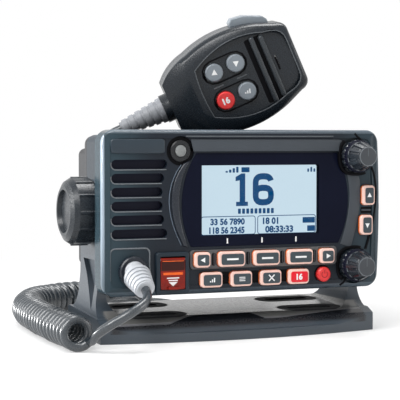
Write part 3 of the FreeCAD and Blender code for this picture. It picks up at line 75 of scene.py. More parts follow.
Box = tuple[float, ...]  # middle across and up, width, height, and a corner radius
Outline = list[Flat]
Arch = tuple[Flat, Flat, Flat]
Placer = Callable[[float, float, float], Vector]

LOG = logging.getLogger("radio")
MM = 0.001
PANEL_Y = -31.0  # the front panel's plane, in millimetres of the frame
AXIS_Z = 66.0  # the panel's middle over the floor
MIC_TURN = Euler((math.radians(8.0), math.radians(-24.2), math.radians(-18.2)), "XYZ")


class Body(str, Enum):
    """The CAD bodies that pieces ride on, besides each key's own."""

    MOUNT = "mount"
    RADIO = "radio"
    MICROPHONE = "microphone"
    VOLUME = "volume"
    SQUELCH = "squelch"
    LID = "alarm_lid"


DIAL_AXES = {Body.VOLUME: (64.0, 28.0), Body.SQUELCH: (63.5, -30.0)}


def at(x: float, y: float, z: float) -> Vector:
    """Give a point of the frame in metres, from its millimetres."""
    return Vector((x, y, z)) * MM


def on_panel(x: float, y: float, z: float) -> Vector:
    """Give the point x right of, y behind and z above the front panel's middle."""
    return at(x, y + PANEL_Y, z + AXIS_Z)


MIC_START = at(-21.1, 29.3, 118.15)


def on_mic(x: float, y: float, z: float) -> Vector:
    """Give the point x beyond the microphone's neck, y into it and z to its talk key."""
    return MIC_START + MIC_TURN.to_matrix() @ at(x, y, z)


# ------------------------------------------------------------------ camera and lamps


@dataclass(frozen=True)
class CameraSpec:
    """Where the camera stands, in millimetres, and how it looks, in degrees."""

    place: Spot = (-294.2, -696.6, 102.84)
    turn: float = -22.0
    dip: float = 2.453
    lens: float = 126.6
    sensor: float = 36.0

    def make(self) -> None:
        """Add the camera and make it the scene's own."""
        bpy.ops.object.camera_add(
            location=at(*self.place),
            rotation=(math.radians(90 - self.dip), 0, math.radians(self.turn)),
        )
        camera = bpy.context.object
        camera.data.lens = self.lens
        camera.data.sensor_width = self.sensor
        bpy.context.scene.camera = camera
        LOG.info("camera at %s", self.place)


@dataclass(frozen=True)
class Lamp:
    """One soft box: its place in metres, width, power, and what it points at."""

    place: Spot
    size: float
    power: float
    aim: Spot = (0.0, 0.0, 0.07)

    def make(self) -> None:
        """Add the lamp, turned towards its aim."""
        place = Vector(self.place)
        turn = (Vector(self.aim) - place).to_track_quat("-Z", "Y").to_euler()
        bpy.ops.object.light_add(type="AREA", location=place, rotation=turn)
        lamp = bpy.context.object.data
        lamp.size = self.size
        lamp.energy = self.power
        LOG.info("lamp at %s", self.place)


LAMPS = (
    Lamp((-1.1, -0.2, 0.75), 0.5, 9.0),
    Lamp((-1.0, 0.75, 0.18), 0.25, 14.0),
    Lamp((-0.55, -0.5, 1.0), 0.6, 10.0),
    Lamp((0.25, 0.25, 1.3), 0.6, 11.0),
    Lamp((1.1, -0.6, 0.35), 0.5, 3.0),
)


# ------------------------------------------------------------------ shader expressions


class Signal:
    """A value or colour that runs between shader nodes; arithmetic on it adds nodes."""

    def __init__(self, net: "Net", socket: bpy.types.NodeSocket) -> None:
        """Wrap a node's output socket."""
        self.net = net
        self.socket = socket

    def __add__(self, other: "Source") -> "Signal":
        """Add a value."""
        return self.net.math("ADD", self, other)

    __radd__ = __add__

    def __sub__(self, other: "Source") -> "Signal":
        """Take a value away."""
        return self.net.math("SUBTRACT", self, other)

    def __rsub__(self, other: "Source") -> "Signal":
        """Take this away from a value."""
        return self.net.math("SUBTRACT", other, self)

    def __mul__(self, other: "Source") -> "Signal":
        """Multiply by a value."""
        return self.net.math("MULTIPLY", self, other)

    __rmul__ = __mul__

    def __pow__(self, other: "Source") -> "Signal":
        """Raise to a power."""
        return self.net.math("POWER", self, other)

    def __lt__(self, other: "Source") -> "Signal":
        """Give 1 where this is below a value."""
        return self.net.math("LESS_THAN", self, other)

    def __gt__(self, other: "Source") -> "Signal":
        """Give 1 where this is above a value."""
        return self.net.math("GREATER_THAN", self, other)

    def __abs__(self) -> "Signal":
        """Drop the sign."""
        return self.net.math("ABSOLUTE", self)

    def least(self, other: "Source") -> "Signal":
        """Give the smaller of two values."""
        return self.net.math("MINIMUM", self, other)

    def most(self, other: "Source") -> "Signal":
        """Give the larger of two values."""
        return self.net.math("MAXIMUM", self, other)

    def ramp(self, low: float, high: float, start: float = 0.0, end: float = 1.0) -> "Signal":
        """Map low..high smoothly onto start..end, held at both ends.

        Args:
            low: the value that gives start.
            high: the value that gives end; it may be below low.
            start: what low gives.
            end: what high gives.

        Returns:
            The mapped value.
        """
        settings = {"interpolation_type": "SMOOTHSTEP", "clamp": True}
        values = {0: self, 1: low, 2: high, 3: start, 4: end}
        return self.net.node("ShaderNodeMapRange", settings, values).out(0)

    def span(self, low: float, high: float, start: float = 0.0, end: float = 1.0) -> "Signal":
        """Map a place between low and high millimetres smoothly onto start..end."""
        return self.ramp(low * MM, high * MM, start, end)


Source = Signal | float | tuple[float, ...]


class Made:
    """A node that has been made, with its outputs at hand."""

    def __init__(self, net: "Net", node: bpy.types.Node) -> None:
        """Keep the node and its net."""
        self.net = net
        self.node = node

    def out(self, key: int | str) -> Signal:
        """Give one output as a signal."""
        return Signal(self.net, self.node.outputs[key])


class Net:
    """The node tree of one material or of the world."""

    def __init__(self, holder: bpy.types.Material | bpy.types.World) -> None:
        """Empty the tree.

        Args:
            holder: the material or world that the tree belongs to.
        """
        holder.use_nodes = True
        self.holder = holder
        self.tree = holder.node_tree
        self.tree.nodes.clear()

    def node(self, kind: str, settings: dict | None = None, inputs: dict | None = None) -> Made:
        """Make a node; every node of every tree comes from here.

        Args:
            kind: the node's type.
            settings: its properties.
            inputs: signals or constants, by socket name or number.

        Returns:
            The node.
        """
        node = self.tree.nodes.new(kind)
        for key, value in (settings or {}).items():
            setattr(node, key, value)
        for key, value in (inputs or {}).items():
            if isinstance(value, Signal):
                self.tree.links.new(value.socket, node.inputs[key])
            else:
                node.inputs[key].default_value = value
        return Made(self, node)

    def math(self, operation: str, first: Source, second: Source = 0.0) -> Signal:
        """Combine two values."""
        return self.node("ShaderNodeMath", {"operation": operation}, {0: first, 1: second}).out(0)

    def place(self) -> Signal:
        """Give the point's place in the piece, which is its place in the frame at rest."""
        return self.node("ShaderNodeTexCoord").out("Object")

    def axes(self) -> tuple[Signal, Signal, Signal]:
        """Give the three parts of the point's place."""
        parts = self.node("ShaderNodeSeparateXYZ", None, {0: self.place()})
        return parts.out(0), parts.out(1), parts.out(2)

    def noise(self, scale: float, detail: float = 2.0, roughness: float = 0.5) -> Signal:
        """Give noise with features about 1 / scale metres wide."""
        values = {"Vector": self.place(), "Scale": scale, "Detail": detail, "Roughness": roughness}
        return self.node("ShaderNodeTexNoise", None, values).out(0)

    def mix(self, share: Source, first: Source, second: Source) -> Signal:
        """Blend two colours."""
        values = {0: share, 6: first, 7: second}
        return self.node("ShaderNodeMix", {"data_type": "RGBA"}, values).out(2)

    def bump(self, height: Signal) -> Signal:
        """Turn a height in metres into a normal."""
        values = {"Height": height, "Distance": 1.0, "Strength": 1.0}
        return self.node("ShaderNodeBump", None, values).out(0)

    def seen(self) -> Signal:
        """Give 1 for rays that see the background: straight, mirrored or through glass.

        Returns:
            The share.
        """
        path = self.node("ShaderNodeLightPath")
        direct = path.out("Is Camera Ray").most(path.out("Is Glossy Ray"))
        return direct.most(path.out("Is Transmission Ray"))

    def finish(self, inputs: dict) -> bpy.types.Material:
        """Close a material with its surface shader.

        Args:
            inputs: the surface shader's values, by socket name.

        Returns:
            The material.
        """
        shader = self.node("ShaderNodeBsdfPrincipled", None, inputs)
        self.node("ShaderNodeOutputMaterial", None, {0: shader.out(0)})
        return self.holder


def tone(red: float, green: float, blue: float) -> tuple[float, float, float, float]:
    """Give an opaque colour."""
    return (red, green, blue, 1.0)


def scaled(colour: Rgb, share: float) -> tuple[float, float, float, float]:
    """Give a colour made darker or lighter."""
    return tone(*[part * share for part in colour])


# ------------------------------------------------------------------ finishes


class Skin:
    """A way to make one material."""

    def make(self, name: str) -> bpy.types.Material:
        """Make the material under a name."""
        raise NotImplementedError


@dataclass(frozen=True)
class Moulded(Skin):
    """A moulded plastic, rubber or metal skin with a fine grain and slight wear.

    The grain's scale is per metre and its depth in metres. The gloss is the middle
    roughness, the wear how far it strays, and the spread how far the colour does.
    """

    colour: Rgb
    grain: float = 2400.0
    depth: float = 0.00004
    gloss: float = 0.45
    metal: float = 0.0
    spread: float = 0.18
    shine: float = 0.35
    cloud: float = 60.0
    wear: Flat = (-0.06, 0.08)

    def tint(self, net: Net, grain: Signal) -> Signal:
        """Give the colour, which varies a little over the piece.

        Args:
            net: the material's nodes.
            grain: the grain's noise.

        Returns:
            The colour.
        """
        cloud = net.noise(self.cloud, 3.0)
        dark = scaled(self.colour, 1 - self.spread)
        return net.mix(cloud * 0.6 + grain * 0.4, dark, scaled(self.colour, 1 + self.spread))

    def relief(self, net: Net, height: Signal) -> Signal:
        """Give the surface's height in metres, here the grain's alone."""
        return height

    def polish(self, net: Net, rough: Signal) -> Signal:
        """Give the roughness, here as it is."""
        return rough

    def make(self, name: str) -> bpy.types.Material:
        """Make the material.

        Args:
            name: its name.

        Returns:
            The material.
        """
        net = Net(bpy.data.materials.new(name))
        grain = net.noise(self.grain, 2.0, 0.6)
        rough = grain.ramp(0.3, 0.7, *[self.gloss + part for part in self.wear])
        return net.finish({
            "Base Color": self.tint(net, grain),
            "Roughness": self.polish(net, rough),
            "Metallic": self.metal,
            "Specular IOR Level": self.shine,
            "Normal": net.bump(self.relief(net, grain * self.depth)),
        })


@dataclass(frozen=True)
class Framed(Moulded):
    """The front panel's skin: a face that falls away to smoother sides, with painted light: paler
    ends, and a painted highlight along the bevel.

    The face is flat within half of the panel's middle and falls over the widths in sides. The
    paler ends are painted light and the lines are a painted highlight; both run from where they
    start to where they are full, in millimetres from the panel's middle, and front is the depth of
    the bevel that carries the painted highlight.
    """

    half: Flat = (72.5, 37.5)
    sides: Flat = (5.5, 4.5)
    fall: float = 0.003
    # painted highlight: the pale colour of the lines along the bevel
    bevel: Rgb = (0.3, 0.37, 0.44)
    # painted light: the paler colour at both ends of the panel
    pale: Rgb = (0.026, 0.048, 0.062)
    left_end: Flat = (-46.0, -77.0)
    right_end: Flat = (50.0, 74.0)
    left_line: Flat = (-76.2, -76.9)
    left_fade: Flat = (-43.0, -5.0)
    right_line: Flat = (76.4, 77.0)
    top_line: Flat = (39.8, 40.5)
    low_line: Flat = (-39.2, -40.0)
    front: Flat = (-28.8, -29.2)

    def tint(self, net: Net, grain: Signal) -> Signal:
        """Give the plain colour with painted light, paler at both ends, and a painted highlight on
        the bevel all round.

        Args:
            net: the material's nodes.
            grain: the grain's noise.

        Returns:
            The colour.
        """
        x, y, z = net.axes()
        high = z - AXIS_Z * MM
        # painted light: the panel is paler towards both ends
        ends = x.span(*self.left_end).most(x.span(*self.right_end, 0.0, 0.7))
        colour = net.mix(ends, super().tint(net, grain), tone(*self.pale))
        # painted highlight: pale lines along the left, right, top and bottom bevels
        left = x.span(*self.left_line) * high.span(*self.left_fade, 0.35, 1.0)
        right = x.span(*self.right_line, 0.0, 0.2)
        level = high.span(*self.top_line, 0.0, 0.34).most(high.span(*self.low_line, 0.0, 0.2))
        line = left.most(level).most(right)
        return net.mix(line * y.span(*self.front), colour, tone(*self.bevel))

    def edge(self, net: Net) -> Signal:
        """Give 0 on the panel's face, rising to 1 at its sides.

        Args:
            net: the material's nodes.

        Returns:
            The share.
        """
        x, _, z = net.axes()
        beside = (abs(x) - self.half[0] * MM) * (1 / (self.sides[0] * MM))
        over = (abs(z - AXIS_Z * MM) - self.half[1] * MM) * (1 / (self.sides[1] * MM))
        return beside.most(over).most(0.0).least(1.0)

    def relief(self, net: Net, height: Signal) -> Signal:
        """Give the grain's height, lower and finer near the panel's sides."""
        edge = self.edge(net)
        return height * (1.0 - edge * 0.8) - edge * edge * self.fall

    def polish(self, net: Net, rough: Signal) -> Signal:
        """Give a smoother surface near the panel's sides."""
        return rough * (1.0 - self.edge(net).ramp(0.4, 0.8) * 0.5)


@dataclass(frozen=True)
class Domed(Moulded):
    """The microphone's skin: shoulders that fall away round its face, round a bowl.

    The two ovals are each a middle and a half size in millimetres, first along the
    microphone and then across it. The face is flat within the share flat of them.
    """

    lengthways: Flat = (47.0, 43.0)
    sideways: Flat = (-1.0, 28.5)
    fall: float = 0.0095
    flat: float = 0.5
    bowl_start: float = 0.44

    @staticmethod
    def share(net: Net, column: int, oval: Flat) -> Signal:
        """Give how far a point lies from the middle along an axis, 1 at the outline.

        Args:
            net: the material's nodes.
            column: which axis of the microphone.
            oval: the middle and the half size along it.

        Returns:
            The share.
        """
        x, y, z = net.axes()
        axis = MIC_TURN.to_matrix().col[column]
        offset = axis.dot(MIC_START) + oval[0] * MM
        return (x * axis[0] + y * axis[1] + z * axis[2] - offset) * (1 / (oval[1] * MM))

    def relief(self, net: Net, height: Signal) -> Signal:
        """Give the grain's height, lower towards the microphone's outline.

        Args:
            net: the material's nodes.
            height: the grain's height.

        Returns:
            The height in metres.
        """
        far = self.share(net, 0, self.lengthways)
        side = self.share(net, 2, self.sideways)
        rise = (far * far + side * side - self.flat).most(0.0).least(0.8)
        bowl = (far - self.bowl_start).most(0.0)
        return height - (rise ** 1.5) * self.fall + bowl * bowl * self.fall


@dataclass(frozen=True)
class Ringed(Moulded):
    """A skin with a second colour within a radius of an axis along the radio's depth."""

    centre: Flat = (0.0, 0.0)
    radius: float = 1.0
    soft: float = 0.1
    inner: Rgb = (1.0, 1.0, 1.0)

    def tint(self, net: Net, grain: Signal) -> Signal:
        """Give the outer colour, and the inner one near the axis.

        Args:
            net: the material's nodes.
            grain: the grain's noise.

        Returns:
            The colour.
        """
        x, _, z = net.axes()
        across = x - self.centre[0] * MM
        up = z - (self.centre[1] + AXIS_Z) * MM
        far = (across * across + up * up) ** 0.5
        inside = far.span(self.radius + self.soft, self.radius - self.soft)
        return net.mix(inside, super().tint(net, grain), tone(*self.inner))


@dataclass(frozen=True)
class Rimmed(Moulded):
    """A clear key cap: pale in front, glowing where it comes out of the panel."""

    glow: Rgb = (1.0, 0.2, 0.03)
    depths: Flat = (-0.9, -0.1)
    ragged: float = 0.0003

    def tint(self, net: Net, grain: Signal) -> Signal:
        """Give the pale colour, and the glow near the panel.

        Args:
            net: the material's nodes.
            grain: the grain's noise.

        Returns:
            The colour.
        """
        y = net.axes()[1]
        deep = (y + net.noise(300.0) * self.ragged).span(
            *[depth + PANEL_Y for depth in self.depths])
        return net.mix(deep, super().tint(net, grain), tone(*self.glow))


@dataclass(frozen=True)
class Decked(Moulded):
    """The bracket's skin: a smooth deck in a painted lit colour with painted shade towards its
    front, rough dishes of painted shade round the slots, a scoop of painted shade before it and a
    painted highlight along the scoop's step.

    The rim is where the deck ends beside the arms, the levels are its lowest and highest
    place, and each slot has a middle and the half length of its straight part. Sizes are
    in millimetres.
    """

    # painted light: the lit colour of the deck's top
    deck: Rgb = (0.42, 0.42, 0.41)
    # painted shade in the scoop and in the dishes round the slots
    scoop: Rgb = (0.009, 0.01, 0.013)
    # painted highlight along the scoop's step
    lip: Rgb = (0.16, 0.16, 0.17)
    rim: Flat = (73.5, 71.0)
    levels: Flat = (4.9, 15.3)
    slot: Flat = (45.0, 14.5)
    straight: float = 10.25
    dished: Flat = (7.6, 8.8)

    def inner(self, x: Signal, z: Signal) -> Signal:
        """Give 1 on the top of the base between the arms."""
        low, high = (part * MM for part in self.levels)
        return abs(x).span(*self.rim) * (z > low) * (z < high)

    def dish(self, x: Signal, y: Signal) -> Signal:
        """Give 1 in the dishes of painted shade round the four slots and 0 elsewhere.

        Args:
            x: the place across.
            y: the place along the depth.

        Returns:
            The share.
        """
        across = (abs(abs(x) - self.slot[0] * MM) - self.straight * MM).most(0.0)
        beside = abs(abs(y) - self.slot[1] * MM)
        return ((across * across + beside * beside) ** 0.5).span(*self.dished, 1.0, 0.0)

    @staticmethod
    def step(x: Signal) -> Signal:
        """Give how far back the painted-shade scoop reaches at a place across, in metres."""
        left = x.ramp(-0.042, -0.024, -0.027, -0.021)
        return left - x.ramp(0.006, 0.014, 0.0, 0.0055) + x.ramp(0.02, 0.066, 0.0, 0.004)

    def tint(self, net: Net, grain: Signal) -> Signal:
        """Give the plain colour, with the painted lit deck, the painted-shade scoop, the painted
        highlight on its step and the painted-shade dishes over it.

        Args:
            net: the material's nodes.
            grain: the grain's noise.

        Returns:
            The colour.
        """
        x, y, z = net.axes()
        inner = self.inner(x, z)
        past = y - self.step(x)
        behind = past.span(-0.3, 0.3)
        worn = net.noise(700.0, 3.0, 0.7).ramp(0.3, 0.7, 0.0, 0.5)
        # painted light on the deck, darkened towards the front as painted shade
        pale = net.mix(worn.most(y.span(4.0, -26.0)), tone(*self.deck), scaled(self.deck, 0.3))
        colour = net.mix(inner * behind, super().tint(net, grain), pale)
        before = (1.0 - behind) * y.span(-30.5, -28.5)
        # painted shade in the scoop
        colour = net.mix(inner * before, colour, tone(*self.scoop))
        # painted highlight along the step
        colour = net.mix(inner * abs(past).span(0.7, 0.3) * 0.7, colour, tone(*self.lip))
        # painted shade in the dishes round the slots
        return net.mix(inner * self.dish(x, y), colour, tone(*self.scoop))

    def polish(self, net: Net, rough: Signal) -> Signal:
        """Give a smoother surface on the deck and a rougher one in the dishes.

        Args:
            net: the material's nodes.
            rough: the plain roughness.

        Returns:
            The roughness.
        """
        x, y, z = net.axes()
        dish = self.dish(x, y)
        deck = self.inner(x, z) * y.span(-30.0, -24.0) * (1.0 - dish)
        return rough * (1.0 - deck * 0.6) + dish * 0.5


@dataclass(frozen=True)
class Glowing(Moulded):
    """A tinted translucent skin: pale where it faces the eye, deeper at its edges."""

    edge: Rgb = (0.9, 0.3, 0.1)

    def tint(self, net: Net, grain: Signal) -> Signal:
        """Give the pale colour, and the deep one at the edges.

        Args:
            net: the material's nodes.
            grain: the grain's noise; not used.

        Returns:
            The colour.
        """
        facing = net.node("ShaderNodeLayerWeight", None, {0: 0.35}).out("Facing")
        cloud = net.noise(180.0, 3.0).ramp(0.35, 0.65)
        return net.mix(facing.most(cloud * 0.5), tone(*self.colour), tone(*self.edge))


@dataclass(frozen=True)
class Window(Moulded):
    """Black glass with a clear window in it, from its low to its high corner."""

    low: Flat = (-24.1, -12.2)
    high: Flat = (42.7, 23.7)

    def make(self, name: str) -> bpy.types.Material:
        """Make the material.

        Args:
            name: its name.

        Returns:
            The material.
        """
        net = Net(bpy.data.materials.new(name))
        x, _, z = net.axes()
        clear = 1.0
        for value, low, high in ((x, self.low[0], self.high[0]),
                                 (z, self.low[1] + AXIS_Z, self.high[1] + AXIS_Z)):
            clear = (value > low * MM) * (value < high * MM) * clear
        smear = net.noise(40.0, 3.0)
        return net.finish({
            "Base Color": net.mix(smear, tone(0.004, 0.005, 0.014), tone(0.006, 0.008, 0.02)),
            "Roughness": smear.ramp(0.3, 0.7, self.gloss, self.gloss + 0.05),
            "Alpha": 1.0 - clear * 0.97,
            "Specular IOR Level": self.shine,
        })


@dataclass(frozen=True)
class Backlit(Skin):
    """A lit display: an even tint with a fine grid of cells, their size in millimetres."""

    colour: Rgb
    strength: float = 0.97
    cell: float = 0.45
    gap: float = 0.86

    def make(self, name: str) -> bpy.types.Material:
        """Make the material.

        Args:
            name: its name.

        Returns:
            The material.
        """
        net = Net(bpy.data.materials.new(name))
        x, _, z = net.axes()
        across, up = (net.math("FRACT", value * (1 / (self.cell * MM))) > self.gap
                      for value in (x, z))
        shade = across.most(up) * 0.3 + net.noise(30.0) * 0.2
        light = net.mix(shade, tone(*self.colour), scaled(self.colour, 0.9))
        return net.finish({
            "Base Color": tone(0.02, 0.02, 0.02),
            "Roughness": 0.5,
            "Specular IOR Level": 0.0,
            "Emission Color": light,
            "Emission Strength": self.strength,
        })


class Finish(Enum):
    """The finishes of the radio's pieces, each with its material's recipe."""

    CASE = Moulded((0.012, 0.021, 0.031), gloss=0.36, shine=0.26)
    # painted light at the panel's ends and a painted highlight on its bevel
    PANEL = Framed((0.006, 0.01, 0.017), gloss=0.36, shine=0.26)
    # painted sheen: the brow is a lighter copy of the case plastic
    BROW = Moulded((0.018, 0.03, 0.042), gloss=0.34, shine=0.4, depth=0.00008)
    CASE_LIGHT = Moulded((0.042, 0.05, 0.06), grain=1300.0, depth=0.00016, gloss=0.42)
    BAR = Moulded((0.085, 0.085, 0.088), grain=1300.0, depth=0.00016, gloss=0.46)
    BAND = Moulded((0.012, 0.016, 0.024), gloss=0.24, shine=0.4)
    # painted highlight along the left band
    BLUE_LINE = Moulded((0.1, 0.13, 0.17), gloss=0.3)
    # painted highlight: pale lines on the slots' lips, the dials' rims and the collar's edge
    RIB = Moulded((0.13, 0.145, 0.16), gloss=0.28, shine=0.6)
    # dark seams, and painted shade in the wells, grooves, rings and slit of the panel and
    # microphone
    WELL = Moulded((0.002, 0.002, 0.003), gloss=0.5, shine=0.08)
    # the speaker cloth, and painted shade on the dials' skirts
    CLOTH = Moulded((0.005, 0.006, 0.016), gloss=0.5, shine=0.15)
    # painted light on the deck, painted shade in its scoop and dishes, a painted highlight on the
    # step
    BRACKET = Decked((0.045, 0.058, 0.073), grain=1300.0, depth=0.00006, gloss=0.34, shine=0.5)
    KNOB = Moulded((0.01, 0.014, 0.019), gloss=0.28, grain=1500.0, depth=0.00007, shine=0.4)
    DIAL = Moulded((0.016, 0.021, 0.028), gloss=0.22, shine=0.8)
    DIAL_FACE = Moulded((0.045, 0.05, 0.057), gloss=0.42)
    RUBBER = Moulded((0.012, 0.012, 0.013), gloss=0.7)
    CHASSIS = Moulded((0.02, 0.021, 0.024), gloss=0.42, metal=0.3)
    STEEL = Moulded((0.5, 0.5, 0.5), depth=0.00001, gloss=0.3, metal=1.0)
    NICKEL = Moulded((0.62, 0.6, 0.55), depth=0.00001, gloss=0.22, metal=1.0)
    BOARD = Moulded((0.01, 0.06, 0.03), gloss=0.35)
    SILICONE = Moulded((0.3, 0.3, 0.31), gloss=0.6)
    BAR_KEY = Rimmed((0.9, 0.6, 0.52), gloss=0.3, spread=0.06, depths=(-1.7, -0.7))
    FIELD_KEY = Rimmed((0.9, 0.6, 0.52), gloss=0.3, spread=0.06, depths=(-0.6, 0.2))
    KEY_FACE = Moulded((0.04, 0.055, 0.065), gloss=0.4)
    RED_FACE = Moulded((0.72, 0.004, 0.018), gloss=0.35, spread=0.06)
    RED_KEY = Glowing((0.8, 0.05, 0.05), gloss=0.32, edge=(0.5, 0.012, 0.014))
    COVER = Glowing((0.25, 0.01, 0.003), gloss=0.14, shine=0.25, edge=(0.12, 0.006, 0.003))
    COVER_DARK = Moulded((0.035, 0.003, 0.0015), gloss=0.12, shine=0.25)
    RED_DARK = Moulded((0.3, 0.004, 0.008), gloss=0.4)
    ORANGE = Moulded((0.85, 0.12, 0.01), gloss=0.3, spread=0.06)
    MIC = Moulded((0.009, 0.013, 0.018), gloss=0.3, grain=1700.0, depth=0.00008, shine=0.3)
    MIC_FRONT = Domed((0.006, 0.01, 0.015), gloss=0.27, grain=1700.0, depth=0.00008, shine=0.42)
    # painted light: a lighter copy of the microphone plastic for its ridges
    MIC_RIDGE = Moulded((0.03, 0.036, 0.042), gloss=0.3, shine=0.4)
    # pale marks, and painted highlight lines round the microphone's face and along the panel's top
    MIC_LINE = Moulded((0.09, 0.1, 0.11), gloss=0.35)
    GREY_KEY = Moulded((0.2, 0.23, 0.26), gloss=0.34, spread=0.06, shine=0.5)
    PLUG = Ringed((0.012, 0.013, 0.015), gloss=0.3, centre=(-35.7, 31.2), radius=3.0,
                  inner=(0.2, 0.21, 0.21))
    BOOT = Moulded((0.5, 0.52, 0.55), gloss=0.42, spread=0.1)
    BOOT_GREY = Moulded((0.24, 0.25, 0.27), gloss=0.4, spread=0.1)
    CORD = Moulded((0.02, 0.027, 0.034), gloss=0.28, shine=0.9, depth=0.000002)
    PAPER = Moulded((0.01, 0.01, 0.01), gloss=0.6)
    WHITE = Moulded((0.85, 0.85, 0.85), depth=0.000005, gloss=0.5, spread=0.04)
    GLASS = Window((0.006, 0.007, 0.01), gloss=0.1, shine=0.06)
    DISPLAY = Moulded((0.35, 0.6, 0.8), depth=0.000002, gloss=0.3)
    SCREEN = Backlit((0.62, 0.79, 0.9))
    INK = Backlit((0.0, 0.062, 0.19))


NODE_FINISHES: dict[Finish, tuple[str, ...]] = {
    Finish.CASE: ("middle_housing", "alarm_guard"),
    Finish.PANEL: ("front_panel",),
    Finish.BAR: ("softkey_bar",),
    Finish.BAND: ("cord_collar",),
    Finish.BRACKET: ("bracket",),
    Finish.KNOB: ("gimbal_knob_left", "gimbal_knob_right"),
    Finish.DIAL: ("volume_knob", "squelch_knob"),
    Finish.RUBBER: ("arm_washers", "chassis_gasket", "cable_inlet"),
    Finish.CHASSIS: ("rear_chassis",),
    Finish.STEEL: ("case_screws", "volume_control", "squelch_control", "volume_shaft",
                   "squelch_shaft", "alarm_pin", "mic_capsule", "mic_screws"),
    Finish.NICKEL: ("antenna_socket", "mic_hang_button"),
    Finish.BOARD: ("main_board", "mic_board"),
    Finish.SILICONE: ("key_sheet",),
    Finish.BAR_KEY: ("key_left", "key_soft_1", "key_soft_2", "key_soft_3", "key_right"),
    Finish.FIELD_KEY: ("key_power_level", "key_menu", "key_clear", "key_channel", "key_up",
                       "key_down"),
    Finish.RED_KEY: ("key_on_off", "mic_key_channel", "alarm_button"),
    Finish.COVER: ("alarm_cover",),
    Finish.MIC: ("mic_rear_shell",),
    Finish.MIC_FRONT: ("mic_front_shell",),
    Finish.GREY_KEY: ("mic_key_up", "mic_key_down", "mic_key_power", "mic_talk_key"),
    Finish.PLUG: ("blank_plug",),
    Finish.BOOT: ("cord_boot",),
    Finish.BOOT_GREY: ("mic_boot",),
    Finish.PAPER: ("speaker",),
    Finish.GLASS: ("display_lens",),
    Finish.DISPLAY: ("lcd_module",),
}


class Wardrobe:
    """The materials, each made once."""

    def __init__(self) -> None:
        """Start with none made."""
        self.made: dict[Finish, bpy.types.Material] = {}

    def get(self, finish: Finish) -> bpy.types.Material:
        """Give a finish's material, making it when it is first asked for.

        Args:
            finish: the finish.

        Returns:
            Its material.
        """
        if finish not in self.made:
            self.made[finish] = finish.value.make(finish.name.lower())
        return self.made[finish]

    def dress(self, piece: bpy.types.Object, finish: Finish) -> None:
        """Put one material on a whole piece."""
        piece.data.materials.clear()
        piece.data.materials.append(self.get(finish))


# ------------------------------------------------------------------ cords

CORD_RADIUS = 2.3
UP = Vector((0, 0, 1))


def spline(name: str, points: Sequence[Vector], bevel: float) -> bpy.types.Object:
    """Make a smooth open curve that has the points as its control points.

    Args:
        name: the object's name.
        points: control points, in metres.
        bevel: the tube's radius in metres, or 0 for a bare line.

    Returns:
        The curve object.
    """
    data = bpy.data.curves.new(name, "CURVE")
    data.dimensions = "3D"
    data.resolution_u = 4
    data.bevel_depth = bevel
    data.bevel_resolution = 3
    data.use_fill_caps = True
    line = data.splines.new("NURBS")
    line.points.add(len(points) - 1)
    for point, place in zip(line.points, points):
        point.co = (*place, 1.0)
    line.order_u = 3
    line.use_endpoint_u = True
    piece = bpy.data.objects.new(name, data)
    bpy.context.collection.objects.link(piece)
    return piece


def line_points(points: Sequence[Vector]) -> list[Vector]:
    """Read the smooth line that a spline with these control points draws.

    Args:
        points: control points, in metres.

    Returns:
        The line's points, with no two on one spot.
    """
    guide = spline("guide", points, 0.0)
    mesh = bpy.data.meshes.new_from_object(guide)
    found = [mesh.vertices[0].co.copy()]
    for vertex in mesh.vertices:
        if (vertex.co - found[-1]).length > 0.01 * MM:
            found.append(vertex.co.copy())
    bpy.data.objects.remove(guide, do_unlink=True)
    return found


def along(line: Sequence[Vector], share: float) -> tuple[Vector, Vector]:
    """Find the point and the direction at a share of a line's length.

    Args:
        line: the line's points.
        share: from 0 at its start to 1 at its end.

    Returns:
        The point and the unit direction.
    """
    lengths = [(b - a).length for a, b in zip(line, line[1:])]
    left = share * sum(lengths)
    for a, b, length in zip(line, line[1:], lengths):
        if left <= length:
            break
        left -= length
    return a.lerp(b, min(left / length, 1.0)), (b - a).normalized()


@dataclass(frozen=True)
class Coil:
    """The cord's turns on the floor; sizes in millimetres, wobble a share of the radius."""

    route: tuple[Spot, ...] = (
        (-95, -47, 9), (-96, -17, 9), (-95.5, 15, 9), (-94, 47, 9), (-88, 77, 9),
        (-73, 101, 9), (-50, 114, 9), (-24, 118, 9),
    )
    radius: float = 9.0
    arrival: Flat = (5.6, -4.0)
    turns: int = 36
    steps: int = 14
    wobble: float = 0.02
    beat: float = 0.37

    def wind(self) -> list[Vector]:
        """Wind the turns round the route, from where the lead arrives.

        Returns:
            The control points of the turns, in metres.
        """
        line = line_points([at(*point) for point in self.route])
        reach = (self.radius - CORD_RADIUS) * MM
        start = math.atan2(self.arrival[1], self.arrival[0])
        count = self.turns * self.steps
        found = []
        for number in range(count + 1):
            centre, ahead = along(line, number / count)
            angle = start - math.tau * number / self.steps
            away = ahead.cross(UP) * math.cos(angle) + UP * math.sin(angle)
            swell = 1 + self.wobble * math.sin(number * self.beat)
            found.append(centre + away * reach * swell)
        return found


@dataclass
class Cord:
    """One limp cord: its control points, its two bodies, and where it passes between them."""

    name: str
    points: list[Vector]
    bodies: tuple[Body, Body]
    low: Vector
    high: Vector
    replaced: tuple[str, ...]

    def lay(self, wardrobe: Wardrobe) -> None:
        """Args:
            wardrobe: where its material comes from.
        """
        path = line_points(self.points)
        piece = spline(self.name, self.points, CORD_RADIUS * MM)
        bpy.ops.object.select_all(action="DESELECT")
        piece.select_set(True)
        bpy.context.view_layer.objects.active = piece
        bpy.ops.object.convert(target="MESH")
        piece = bpy.context.object
        bpy.ops.object.shade_smooth()
        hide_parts(*self.replaced)
        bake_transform(piece)
        wardrobe.dress(piece, Finish.CORD)


